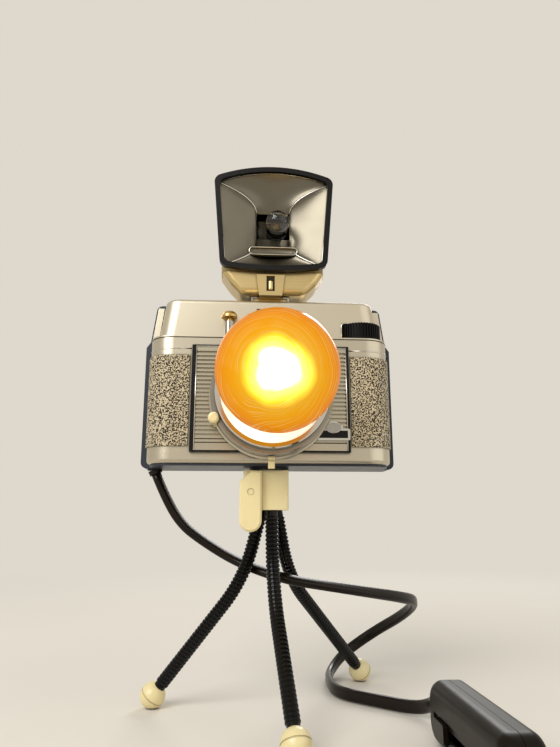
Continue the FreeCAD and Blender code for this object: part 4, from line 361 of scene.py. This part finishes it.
def white_plastic_with_painted_glow():
    """The white cone, with a painted glow for the light that the lamp before it throws into it."""
    look = plastic("White reflector", (250, 249, 244), (244, 242, 234), (0.35, 0.5), 500.0, 0.01, 0.5, 0.02)
    shader = look.node_tree.nodes["Principled BSDF"]
    # Painted light: the cone glows though it is no lamp, standing in for the lamp's light inside it.
    fill(look.node_tree, shader, {"Emission Color": (1.0, 0.97, 0.88, 1.0), "Emission Strength": 0.45})
    return look


def leathercloth():
    """Pale pressed leathercloth with short dark pits that run every way."""
    look, tree, shader = blank("Leathercloth")
    place = object_place(tree)
    bend = cloud(tree, place, 700.0, 2.0, "Color")
    moved = vectors(tree, "MULTIPLY", bend, (0.0009, 0.0009, 0.0009))
    cells = cloud(tree, vectors(tree, "ADD", place, moved), 1450.0, 1.0, Roughness=0.4)
    hollow = spread(tree, cells, 0.445, 0.53)
    tone = mix_colour(tree, hollow, paint(40, 31, 20), paint(216, 203, 172))
    drift = use(tree, mottle, {"First": (1, 1, 1, 1), "Second": paint(214, 205, 188), "Scale": 90.0,
                               "Contrast": 1.2})
    fill(tree, shader, {"Base Color": mix_colour(tree, 1.0, tone, drift["Colour"], "MULTIPLY"),
                        "Roughness": spread(tree, hollow, 0.0, 1.0, 0.8, 0.45),
                        "Normal": bump(tree, hollow, 0.8, 0.2)})
    return look


def clear_glass(name, tint, rough):
    """Clear glass with a faint tint and a roughness that drifts."""
    look, tree, shader = blank(name)
    tone = use(tree, mottle, {"First": paint(*tint), "Second": (1, 1, 1, 1), "Scale": 80.0, "Contrast": 1.0})
    fill(tree, shader, {"Transmission Weight": 1.0, "IOR": 1.45, "Base Color": tone["Colour"],
                        "Roughness": spread(tree, tone["Value"], 0.0, 1.0, *rough)})
    return look


def lit_core():
    """The glowing heart of the globe."""
    look, tree, shader = blank("Lit core")
    tone = use(tree, mottle, {"First": paint(255, 246, 214), "Second": paint(255, 236, 170), "Scale": 120.0,
                              "Contrast": 1.5})["Colour"]
    fill(tree, shader, {"Base Color": tone, "Emission Color": tone, "Emission Strength": 6.0})
    return look


def amber_streaks(tree, centre):
    """Fine broken circles round the lamp's axis, as blown glass has them."""
    warp = vectors(tree, "MULTIPLY", cloud(tree, centre, 34.0, 2.0, "Color"), (0.007, 0.007, 0.007))
    off_axis = vectors(tree, "MULTIPLY", vectors(tree, "ADD", centre, warp), (1.0, 0.0, 1.0))
    rings = scaled(tree, (1.0, 0.0, 0.0), length(tree, off_axis))
    lines = spread(tree, cloud(tree, rings, 1900.0, 2.0, Roughness=0.6), 0.52, 0.6)
    uneven = spread(tree, cloud(tree, centre, 95.0, 2.0), 0.36, 0.54)
    return maths(tree, "MULTIPLY", lines, uneven)


AMBER_SHADES = ((0.035, (255, 250, 214)), (0.065, (255, 226, 104)), (0.15, (255, 200, 46)),
                (0.3, (255, 178, 26)), (0.6, (246, 152, 12)), (0.85, (220, 122, 4)))


def amber_glass():
    """Lit amber glass: brightest where it faces the eye, falling off to its rim in an uneven ring."""
    look, tree, shader = blank("Amber glass")
    globe_middle = (0.0, -0.0605, 0.1438)
    centre = vectors(tree, "SUBTRACT", object_place(tree), globe_middle)
    streaks = amber_streaks(tree, centre)
    facing = wire(tree, "LayerWeight", {"Blend": 0.5}).outputs["Facing"]
    shift = spread(tree, cloud(tree, centre, 60.0, 2.0), 0.3, 0.7, -0.035, 0.035)
    ring = maths(tree, "ADD", facing, shift)
    glow = wire(tree, "ValToRGB", {"Fac": ring})
    shades = glow.color_ramp.elements
    for position, colour in AMBER_SHADES:
        shades.new(position).color = paint(*colour)
    shades.remove(shades[0])
    shades.remove(shades[-1])
    pale_share = maths(tree, "MULTIPLY", streaks, 0.8)
    colour = mix_colour(tree, pale_share, glow.outputs["Color"], paint(255, 206, 110))
    falling = spread(tree, ring, 0.02, 0.21, 1.0, 0.25)
    fill(tree, shader, {"Base Color": mix_colour(tree, 0.95, colour, paint(96, 46, 2)),
                        "Emission Color": scaled(tree, colour, falling), "Emission Strength": 3.0,
                        "IOR": 1.12, "Specular IOR Level": 0.3,
                        "Roughness": spread(tree, streaks, 0.0, 1.0, 0.08, 0.16),
                        "Normal": bump(tree, streaks, 0.2, 0.04)})
    return look


# Each metal: light and dark tone, roughness from and to, stretch and scale of its grain, depth of the grain
EVEN = (1, 1, 1)
SATIN = metal("Satin alloy", (205, 197, 178), (188, 179, 159), (0.24, 0.36), (0.04, 0.04, 1.0), 1100.0, 0.006)
PEARL = metal("Pearl alloy", (208, 199, 178), (196, 187, 166), (0.32, 0.4), EVEN, 1500.0, 0.004)
# The ribbed plate takes less painted shade between its ribs than the other metals.
RIBBED = metal("Ribbed plate", (204, 196, 175), (182, 174, 154), (0.2, 0.3), (0.05, 1, 1), 1200.0, 0.004,
               shade_amount=0.35)
CHROME = metal("Chrome", (222, 219, 210), (206, 202, 192), (0.06, 0.14), EVEN, 400.0, 0.002, dusty=0.03)
SMOKED = metal("Reflector", (130, 124, 109), (92, 87, 76), (0.28, 0.36), EVEN, 400.0, 0.004, dusty=0.02)
GUNMETAL = metal("Lens barrel", (178, 172, 158), (140, 135, 124), (0.16, 0.28), (1, 0.1, 1), 600.0, 0.004)
GILT = metal("Gilt housing", (216, 194, 142), (196, 172, 119), (0.24, 0.34), (0.1, 1, 1), 900.0, 0.004)
BRASS = metal("Brass", (214, 178, 105), (176, 138, 74), (0.2, 0.38), EVEN, 800.0, 0.01, worn=0.3)
STEEL = metal("Plated steel", (186, 183, 176), (150, 147, 140), (0.18, 0.34), EVEN, 800.0, 0.01, worn=0.3)
# Dark metal for the cover's seams, and for painted shade in the bulb's hole, the bracket's slot and the gaps
# between the plate's bars.
RECESS = metal("Dark recess", (74, 70, 60), (40, 37, 31), (0.2, 0.34), EVEN, 400.0, 0.01, dusty=0.0)

# Each plastic: light and dark tone, roughness from and to, scale and depth of its texture, shine, dust
# Painted shade: the shell's sides, bottom and back door are given dark slate, the look of silver turned away
# from the light.
SHADE_SLATE = plastic("Slate for painted shade", (40, 46, 57), (32, 37, 46), (0.32, 0.44), 700.0, 0.008, 0.4, 0.01)
BLACK = plastic("Black plastic", (13, 12, 11), (8, 8, 7), (0.3, 0.4), 600.0, 0.006, 0.22, 0.01)
MATT = plastic("Matt black plastic", (12, 11, 10), (7, 7, 6), (0.46, 0.58), 600.0, 0.008, 0.12, 0.0)
NECK = plastic("Gooseneck sleeve", (8, 7, 6), (5, 5, 4), (0.12, 0.18), 500.0, 0.002, 0.2, 0.0)
DIMMER = plastic("Dimmer plastic", (22, 16, 10), (15, 11, 7), (0.3, 0.38), 900.0, 0.008, 0.12, 0.0)
FLEX = plastic("Brown flex", (26, 18, 10), (17, 12, 7), (0.22, 0.3), 300.0, 0.004, 0.2, 0.0)
# Cream plastic and the feet take painted shade in their corners, the feet a darker one.
CREAM = plastic("Cream plastic", (236, 222, 172), (226, 210, 156), (0.3, 0.42), 400.0, 0.01, 0.5, 0.04,
                coat=0.2, shade_amount=0.8)
BALL = plastic("Foot plastic", (236, 222, 172), (224, 207, 152), (0.3, 0.42), 400.0, 0.01, 0.5, 0.05,
               coat=0.2, shade_amount=1.0, shade_colour=(52, 40, 22))
WHITE = white_plastic_with_painted_glow()
LEATHER = leathercloth()
AMBER = amber_glass()
GLOW = lit_core()
BULB_GLASS = clear_glass("Bulb glass", (246, 243, 234), (0.0, 0.02))
WINDOW = clear_glass("Window glass", (206, 214, 204), (0.04, 0.1))

LOOKS = (
    (SATIN, "front_casing lens_flange"),
    (PEARL, "top_cover"),
    (RIBBED, "front_plate"),
    (CHROME, "badge_plate lip_ring finder_eyepiece"),
    (SMOKED, "flash_reflector"),
    (GUNMETAL, "lens_barrel release_collar"),
    (GILT, "flash_housing flash_stand"),
    (BRASS, "holder_contacts bulb_cap bulb_contact flash_bulb_base release_button"),
    (STEEL, "hinge_pin door_latch wheel_axle accessory_shoe tripod_screw tripod_bush plug_pins"),
    (SHADE_SLATE, "base_plate rear_shell back_door"),
    (BLACK, "flash_rim flash_socket head_pad"),
    (MATT, "advance_wheel"),
    (NECK, "left_leg front_leg right_leg"),
    (DIMMER, "dimmer_cover dimmer_base dimmer_slider dimmer_relief plug_body"),
    (FLEX, "cord_gland inner_lead lead_upper lead_lower lead_coil lead_end"),
    (CREAM, "lampholder shutter_lever aperture_lever head_block clamp_lever lever_pin"),
    (BALL, "left_foot front_foot right_foot"),
    (WHITE, "inner_cone"),
    (LEATHER, "leather_grips"),
    (AMBER, "globe"),
    (GLOW, "lit_core"),
    (BULB_GLASS, "flash_bulb"),
    (WINDOW, "finder_window"),
)
for look, node_names in LOOKS:
    for node_name in node_names.split():
        for material_slot in nodes[node_name].material_slots:
            material_slot.material = look


# Flash head: four-sided reflector with its ridges and ledge, painted highlights on the ridges, mouth and
# ledge, and a dark bulb recess as painted shade
FLASH_X = 1.5
SIDES = ("bottom", "right", "top", "left")
SIDE_STEPS = 28
MOUTH_LOW_HALF, MOUTH_HIGH_HALF, MOUTH_LOW, MOUTH_HIGH = 25.3, 30.1, 215.7, 262.9
BOTTOM_BULGE, TOP_BULGE = 1.8, 5.7
MOUTH_Y, BOWL_DEPTH, BOWL_END = 3.15, 9.3, 12.5
HOLE_HALF, HOLE_LOW, HOLE_HIGH = 8.8, 229.8, 249.4


def mouth_place(side, share):
    """Place on the reflector's mouth: x from the middle and z, at a share along one side."""
    if side == "bottom":
        across = MOUTH_LOW_HALF * (2 * share - 1)
        return across, MOUTH_LOW - BOTTOM_BULGE * (1 - (across / MOUTH_LOW_HALF) ** 2)
    if side == "top":
        across = MOUTH_HIGH_HALF * (1 - 2 * share)
        return across, MOUTH_HIGH + TOP_BULGE * (1 - (across / MOUTH_HIGH_HALF) ** 2)
    wider, taller = MOUTH_HIGH_HALF - MOUTH_LOW_HALF, MOUTH_HIGH - MOUTH_LOW
    if side == "right":
        return MOUTH_LOW_HALF + wider * share, MOUTH_LOW + taller * share
    return -(MOUTH_HIGH_HALF - wider * share), MOUTH_HIGH - taller * share


def hole_place(side, share):
    """Place on the edge of the bulb's hole, in step with mouth_place."""
    tall = HOLE_HIGH - HOLE_LOW
    return {"bottom": (HOLE_HALF * (2 * share - 1), HOLE_LOW),
            "top": (HOLE_HALF * (1 - 2 * share), HOLE_HIGH),
            "right": (HOLE_HALF, HOLE_LOW + tall * share),
            "left": (-HOLE_HALF, HOLE_HIGH - tall * share)}[side]


def facet_place(side, share, inward):
    """Place on a hollowed facet; inward runs from 0 at the mouth to 1 at the hole."""
    pinch, lift = 1.8, 1.05
    even_share, steep_share = 0.62, 0.38
    deepest_dip, dip_width = 3.0, 0.6
    narrowing = 1 - (1 - inward) ** pinch
    rising = inward ** lift
    depth = MOUTH_Y + BOWL_DEPTH * (even_share * inward + steep_share * inward ** 3)
    dip = 0
    if 0 < share < 1:
        dip = deepest_dip * math.sin(math.pi * share) ** dip_width * 4 * inward * (1 - inward)
    x, z = mouth_place(side, share)
    hole_x, hole_z = hole_place(side, share)
    return mm(FLASH_X + x + (hole_x - x) * narrowing, min(BOWL_END, depth + dip), z + (hole_z - z) * rising)


def add_ridges():
    """Chrome beads where two facets meet: painted highlights along the ridges."""
    steps = 20
    for side in SIDES:
        line = [facet_place(side, 0, step / steps) for step in range(steps + 1)]
        # Painted highlight along each ridge.
        bead("reflector_ridge_highlight_" + side, line, 0.42, CHROME, "flash")


def add_reflector():
    """Four hollowed facets that pinch in towards the hole and meet in sharp curved ridges."""
    rings = 22
    places = [facet_place(side, step / SIDE_STEPS, ring / rings)
              for ring in range(rings + 1) for side in SIDES for step in range(SIDE_STEPS)]
    faces = rings_to_faces(rings + 1, len(SIDES) * SIDE_STEPS, closed_ends=False)
    bowl = piece("pinched_reflector", places, faces, SMOKED, "flash")
    bowl.data.set_sharp_from_angle(angle=math.radians(28))
    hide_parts("flash_reflector")


def add_mouth_line():
    """Painted highlight: a bright chrome line inside the black rim."""
    shrink, middle_z, line_y = 0.988, 241, 2.5
    line = []
    for side in SIDES:
        for step in range(SIDE_STEPS):
            x, z = mouth_place(side, step / SIDE_STEPS)
            line.append(mm(FLASH_X + shrink * x, line_y, middle_z + shrink * (z - middle_z)))
    bead("reflector_mouth_highlight", line, 0.34, CHROME, "flash", closed=True)


def add_bulb_recess():
    """Four-sided cup behind the hole, closed round the bulb's socket, with a floor over the housing; it is
    dark as painted shade in the hole.
    """
    around = 48
    behind_bowl, floor_z = 12.8, 234.8
    middle = (HOLE_LOW + HOLE_HIGH) / 2
    profile = ((12.3, 0.0), (12.7, 0.2), (12.9, 0.3), (19.0, 0.9), (19.6, 1.8), (19.6, 5.0))
    places = []
    for y, inset in profile:
        shrink = 1 - inset / HOLE_HALF
        for step in range(around):
            x, z = hole_place(SIDES[step * 4 // around], (step * 4 / around) % 1)
            height = middle + (z - middle) * shrink
            if y > behind_bowl:
                height = max(height, floor_z)
            places.append(mm(FLASH_X + x * shrink, y, height))
    faces = rings_to_faces(len(profile), around, closed_ends=False)
    faces.append(tuple((len(profile) - 1) * around + step for step in range(around)))
    # Painted shade: the cup's dark metal stands for the shade inside the hole.
    cup = piece("bulb_recess", places, faces, RECESS, "flash")
    cup.data.set_sharp_from_angle(angle=math.radians(40))


def add_reflector_ledge():
    """Long rounded ledge pressed into the reflector below the hole, hollowed along its middle."""
    half_long, half_tall, middle_z = 13.2, 2.6, 225.6
    around = 56
    profile = ((10.6, 0.0), (8.0, 0.0), (7.4, 0.2), (7.15, 0.55), (7.4, 0.9), (8.1, 1.15), (8.3, 1.7))
    crest = 3
    places = []
    for y, inset in profile:
        radius = half_tall - inset
        for angle in circle(around):
            straight = (half_long - half_tall) * max(-1.0, min(1.0, 6 * math.cos(angle)))
            x = FLASH_X + straight + radius * math.cos(angle)
            places.append(mm(x, y, middle_z + radius * math.sin(angle)))
    piece("reflector_ledge", places, rings_to_faces(len(profile), around), SMOKED, "flash")
    # Painted highlight: a chrome bead along the ledge's crest.
    edge = places[crest * around:(crest + 1) * around]
    bead("ledge_crest_highlight", edge, 0.3, CHROME, "flash", closed=True)


add_ridges()
add_reflector()
add_mouth_line()
add_bulb_recess()
add_reflector_ledge()


# Trim on the body: shoulder strips, badge, plate frame, seams, the wheel's window and the bracket's slot
def add_shoulder_strips():
    """Pale strips on the leaning upper flanges of the rear shell."""
    front_y, back_y = 16.6, 17.1
    strip = [(57.4, 176.4), (60.7, 176.4), (58.2, 195.6), (55.0, 195.6)]
    mirrored = [(-x, z) for x, z in reversed(strip)]
    flat_plate("shoulder_strip_left", mirrored, front_y, back_y, PEARL)
    flat_plate("shoulder_strip_right", strip, front_y, back_y, PEARL)


def add_badge():
    """A dark field and a plain oval on the bare badge."""
    field_y, oval_y, back_y = -6.62, -6.72, -6.4
    field = rectangle(22.95, 36.45, 124.75, 128.25)
    flat_plate("badge_field", field, field_y, back_y, BLACK, round_mm=0.05)
    middle_x, middle_z, half_wide, half_tall = 29.6, 129.5, 3.7, 2.5
    oval = [(middle_x + half_wide * math.cos(angle), middle_z + half_tall * math.sin(angle))
            for angle in circle(40)]
    flat_plate("badge_oval", oval, oval_y, back_y, STEEL, round_mm=0.1)


def add_plate_trim():
    """Black frame round the ribbed plate, partly trim and partly painted shadow; a painted highlight along
    the plate's edge inside it; painted shade in the gaps between its lower bars.
    """
    left, right, low, high = -38.1, 38.0, 118.1, 170.0
    inner_left, inner_right, inner_low, inner_high = -36.0, 36.5, 118.9, 169.1
    frame_parts = {"left": (left, inner_left, low, high), "right": (inner_right, right, low, high),
                   "top": (inner_left, inner_right, inner_high, high),
                   "bottom": (inner_left, inner_right, low, inner_low)}
    front_y, back_y, line_y, gap_y = -5.12, -2.45, -5.15, -4.9
    for side, edges in frame_parts.items():
        # The black frame is partly trim and partly painted shadow of the plate's raised edge.
        flat_plate("plate_frame_" + side, rectangle(*edges), front_y, back_y, BLACK,
                   round_mm=0.2)
    # Painted highlight: chrome beads along the plate's edge, inside the frame.
    corners = [(inner_left, inner_low), (inner_left, inner_high),
               (inner_right, inner_high), (inner_right, inner_low)]
    for number, ends in enumerate(zip(corners, corners[1:]), 1):
        bead("plate_edge_highlight_%d" % number, [mm(x, line_y, z) for x, z in ends], 0.3, CHROME, "camera")
    # Painted shade: dark beads in the gaps between the plate's lower bars.
    for number, z in enumerate((122.45, 124.15), 1):
        line = [mm(x, gap_y, z) for x in (inner_left, inner_right)]
        bead("bar_gap_shade_%d" % number, line, 0.28, RECESS, "camera")


def round_casing(z, stand_out, end_x):
    """Line round a front corner of the casing at one height, from its side to a place on its front."""
    hand = math.copysign(1, end_x)
    side_x, side_end_y, front_y, corner, steps = 59.5, 16.4, -2.4, 12.0, 12
    reach = corner + stand_out
    line = [mm(hand * (side_x + stand_out), side_end_y, z)]
    for step in range(steps + 1):
        angle = math.pi / 2 * step / steps
        x = side_x - corner + reach * math.cos(angle)
        line.append(mm(hand * x, front_y + corner - reach * math.sin(angle), z))
    line.append(mm(end_x, front_y - stand_out, z))
    return line


def add_casing_lines():
    """Dark seam under the top cover, and a chrome bead on the step over the leathercloth as its painted
    highlight.
    """
    seam_z, step_z = 174.45, 168.6
    seam_end_x, step_end_x = 0.5, 38.6
    level = (0, 0, 1)
    for hand, hand_name in ((-1, "left"), (1, "right")):
        seam = round_casing(seam_z, -0.12, seam_end_x * hand)
        bead("cover_seam_" + hand_name, seam, 0.3, RECESS, "camera", upright=level)
        # Painted highlight: a chrome bead along the casing's step.
        step_line = round_casing(step_z, -0.05, step_end_x * hand)
        bead("casing_step_highlight_" + hand_name, step_line, 0.3, CHROME, "camera", upright=level)


def add_wheel_window():
    """Bright line up the side and along the top of the advance wheel's window."""
    left, right, low, high, bend, cover_y = 36.4, 48.4, 175.6, 185.2, 1.6, 4.6
    steps = 6
    line = [mm(left, cover_y, low), mm(left, cover_y, high - bend)]
    for step in range(1, steps + 1):
        angle = math.pi / 2 * step / steps
        line.append(mm(left + bend - bend * math.cos(angle), cover_y, high - bend + bend * math.sin(angle)))
    line.append(mm(right, cover_y, high))
    bead("wheel_window", line, 0.3, CHROME, "camera")


def add_bracket_slot():
    """Bright bar in the slot of the flash head's bracket, and a dark plate at the back of the slot as painted
    shade.
    """
    # Painted shade: a dark plate at the back of the slot.
    hollow = rectangle(-1.9, 1.9, 201.6, 209.2)
    flat_plate("bracket_slot_shade", hollow, 3.3, 3.45, RECESS, "flash", round_mm=0.05)
    bar_y, bar_low, bar_step = 3.6, 202.0, 0.72
    bar = [mm(0, bar_y, bar_low + step * bar_step) for step in range(8)]
    bead("bracket_bar", bar, 1.5, GILT, "flash")


add_shoulder_strips()
add_badge()
add_plate_trim()
add_casing_lines()
add_wheel_window()
add_bracket_slot()


# Leads: flat twin flex along smooth lines
FLEX_WIDTH = 5.9 * MM
FLEX_THICK = 4.3 * MM


def smooth_line(points):
    """Points along a smooth curve that the given points steer."""
    curve = bpy.data.curves.new("Route", "CURVE")
    curve.dimensions = "3D"
    curve.resolution_u = 6
    spline = curve.splines.new("NURBS")
    spline.points.add(len(points) - 1)
    for spot, place in zip(spline.points, points):
        spot.co = (*place, 1.0)
    spline.order_u = 3
    spline.use_endpoint_u = True
    holder = bpy.data.objects.new("Route", curve)
    scene.collection.objects.link(holder)
    mesh = bpy.data.meshes.new_from_object(holder)
    line = [vertex.co.copy() for vertex in mesh.vertices]
    bpy.data.objects.remove(holder)
    bpy.data.curves.remove(curve)
    bpy.data.meshes.remove(mesh)
    return line


def flex_section():
    """Outline of a flat twin flex: two round cores with a shallow groove between them."""
    groove_depth, groove_wide, squareness = 0.10, 0.9 * MM, 0.75
    outline = []
    for angle in circle(20):
        wide = FLEX_WIDTH / 2 * math.cos(angle)
        waist = 1 - groove_depth * math.exp(-(wide / groove_wide) ** 2)
        round_side = math.copysign(abs(math.sin(angle)) ** squareness, math.sin(angle))
        outline.append((wide, FLEX_THICK / 2 * waist * round_side))
    return outline


def flat_lead(name, points, upright):
    """A flat flex along a line; upright gives the way of its width for a share of the line."""
    line = smooth_line(points)
    section = flex_section()
    last = len(line) - 1
    places = []
    for index, spot in enumerate(line):
        ahead = (line[min(index + 1, last)] - line[max(index - 1, 0)]).normalized()
        wide = upright(index / last)
        wide = (wide - ahead * wide.dot(ahead)).normalized()
        thick = ahead.cross(wide)
        places += [spot + wide * across + thick * up for across, up in section]
    faces = rings_to_faces(len(line), len(section))
    return piece(name, places, faces, FLEX, "camera"), line


def upper_width(share):
    """The flat side turns from lying along the depth to standing on the floor."""
    turn_from, turn_over = 0.25, 0.35
    turn = ease((share - turn_from) / turn_over)
    return Vector((0.2 * (1 - turn), 0.95 * (1 - turn), 0.35 + 0.65 * turn))


# From the gland under the body, behind the tripod and round to the dimmer
GLAND_TILT = math.radians(23)
GLAND_NOSE, GLAND_LEAD = 1.8, 8.5
DIMMER_X = 71.5
lead_way = Vector((math.sin(GLAND_TILT), 0, -math.cos(GLAND_TILT)))
lead_start = mm(-56.9, 22, 111.3) + lead_way * GLAND_NOSE * MM
UPPER_ROUTE = [lead_start, lead_start + lead_way * GLAND_LEAD * MM] + [mm(*spot) for spot in (
    (-43.9, 22.3, 86.0), (-31.7, 26.1, 76.7), (-14.1, 26.6, 66.4), (8.5, 13.9, 59.6), (25.8, 17.1, 56.8),
    (48.5, 26.8, 52.7), (70.8, 40.2, 48.4), (83.7, 58.4, 44.4), (80.2, 79.2, 34.3), (67.2, 98.5, 22.7),
    (48.2, 97.9, 11.0), (37.6, 83.8, 3.4), (34.7, 63.7, 3.8), (35.5, 42.2, 3.3), (51.9, 26.9, 3.3),
    (67.6, 12.6, 3.3), (72.3, 1.9, 7.2), (DIMMER_X, -8.5, 12.0), (DIMMER_X, -19.0, 12.0))]

upper_lead, upper_line = flat_lead("lead_to_dimmer", UPPER_ROUTE, upper_width)
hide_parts("lead_upper")

# The put-away length: three turns in, three turns out under them, then to the plug
COIL_TURNS, COIL_MEAN, COIL_PITCH, COIL_LAYER, COIL_HIGH = 6, 34.5, 6.7, 6.6, 9.8
COIL_OUTER = COIL_MEAN + COIL_PITCH * 1.5
COIL_X, COIL_Y = DIMMER_X - COIL_OUTER, -154.0
STEPS_PER_TURN = 20


def coil_spot(turns):
    """Place on the coil after some turns; the spiral reverses and steps down over its middle."""
    middle = COIL_TURNS / 2
    blend = 0.25
    away = abs(turns - middle)
    inward = middle - away if away > blend else middle - blend / 2 - away * away / (2 * blend)
    reach = COIL_OUTER - COIL_PITCH * inward
    angle = -2 * math.pi * turns
    height = COIL_HIGH - COIL_LAYER * ease((turns - middle + blend) / (2 * blend))
    return mm(COIL_X + reach * math.cos(angle), COIL_Y + reach * math.sin(angle), height)


LOWER_ROUTE = [mm(DIMMER_X, -119, 12), mm(DIMMER_X, -130, 12), mm(DIMMER_X, -143, 9.8)]
LOWER_ROUTE += [coil_spot(step / STEPS_PER_TURN) for step in range(COIL_TURNS * STEPS_PER_TURN + 1)]
LOWER_ROUTE += [mm(*spot) for spot in ((DIMMER_X, -169, 3.2), (72.9, -190, 3.7), (70.4, -211.8, 5),
                                       (56.4, -226, 7), (39.4, -226, 7))]

lower_lead, lower_line = flat_lead("lead_to_plug", LOWER_ROUTE, lambda share: Vector((0, 0, 1)))
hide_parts("lead_lower", "lead_coil", "lead_end")


# Floor, lights and backdrop
BACKDROP = paint(222, 216, 205)


def add_floor():
    """A wide pale floor that fades into the backdrop's colour away from the lamp."""
    half, fade_from, fade_to = 3.0, 0.38, 1.0
    mesh = bpy.data.meshes.new("floor")
    mesh.from_pydata([(x, y, 0) for x, y in rectangle(-half, half, -half, half)], [], [(0, 1, 2, 3)])
    floor = bpy.data.objects.new("floor", mesh)
    look, tree, shader = blank("Pale floor")
    tone = use(tree, mottle, {"First": paint(226, 220, 208), "Second": paint(220, 214, 202), "Scale": 6.0})
    far = spread(tree, length(tree, object_place(tree)), fade_from, fade_to)
    black = (0, 0, 0, 1)
    fill(tree, shader, {"Base Color": mix_colour(tree, far, tone["Colour"], black),
                        "Emission Color": mix_colour(tree, far, black, BACKDROP), "Emission Strength": 1.0,
                        "Roughness": 0.9, "Specular IOR Level": 0.0})
    mesh.materials.append(look)
    scene.collection.objects.link(floor)


def add_light(name, place, aim, size, power):
    """A round soft light at a place, turned to what it lights."""
    lamp = bpy.data.lights.new(name, "AREA")
    lamp.shape = "DISK"
    lamp.size = size
    lamp.energy = power
    holder = bpy.data.objects.new(name, lamp)
    holder.location = place
    holder.rotation_euler = (Vector(aim) - Vector(place)).to_track_quat("-Z", "Y").to_euler()
    scene.collection.objects.link(holder)


def add_world():
    """Soft light from all round; the backdrop shows its own colour."""
    world = bpy.data.worlds.new("Studio")
    world.use_nodes = True
    scene.world = world
    tree = world.node_tree
    tree.nodes.clear()
    path = wire(tree, "LightPath").outputs
    seen = maths(tree, "MAXIMUM", path["Is Camera Ray"], path["Is Transmission Ray"])
    seen = maths(tree, "MAXIMUM", seen, path["Is Glossy Ray"])
    lit = wire(tree, "Background", {"Color": (1.0, 0.98, 0.95, 1.0), "Strength": 0.5}).outputs[0]
    shown = wire(tree, "Background", {"Color": BACKDROP, "Strength": 1.0}).outputs[0]
    both = wire(tree, "MixShader", {0: seen, 1: lit, 2: shown}).outputs[0]
    wire(tree, "OutputWorld", {"Surface": both})


add_floor()
add_light("Key", (-0.935, -1.275, 1.177), (0, 0, 0.14), 1.275, 26.0)
add_light("Fill", (1.2, -0.9, 0.615), (0, 0, 0.12), 1.95, 5.4)
add_light("Back", (0.45, 1.35, 0.975), (0, 0, 0.15), 0.75, 9.0)
add_world()
scene.view_settings.view_transform = "Standard"
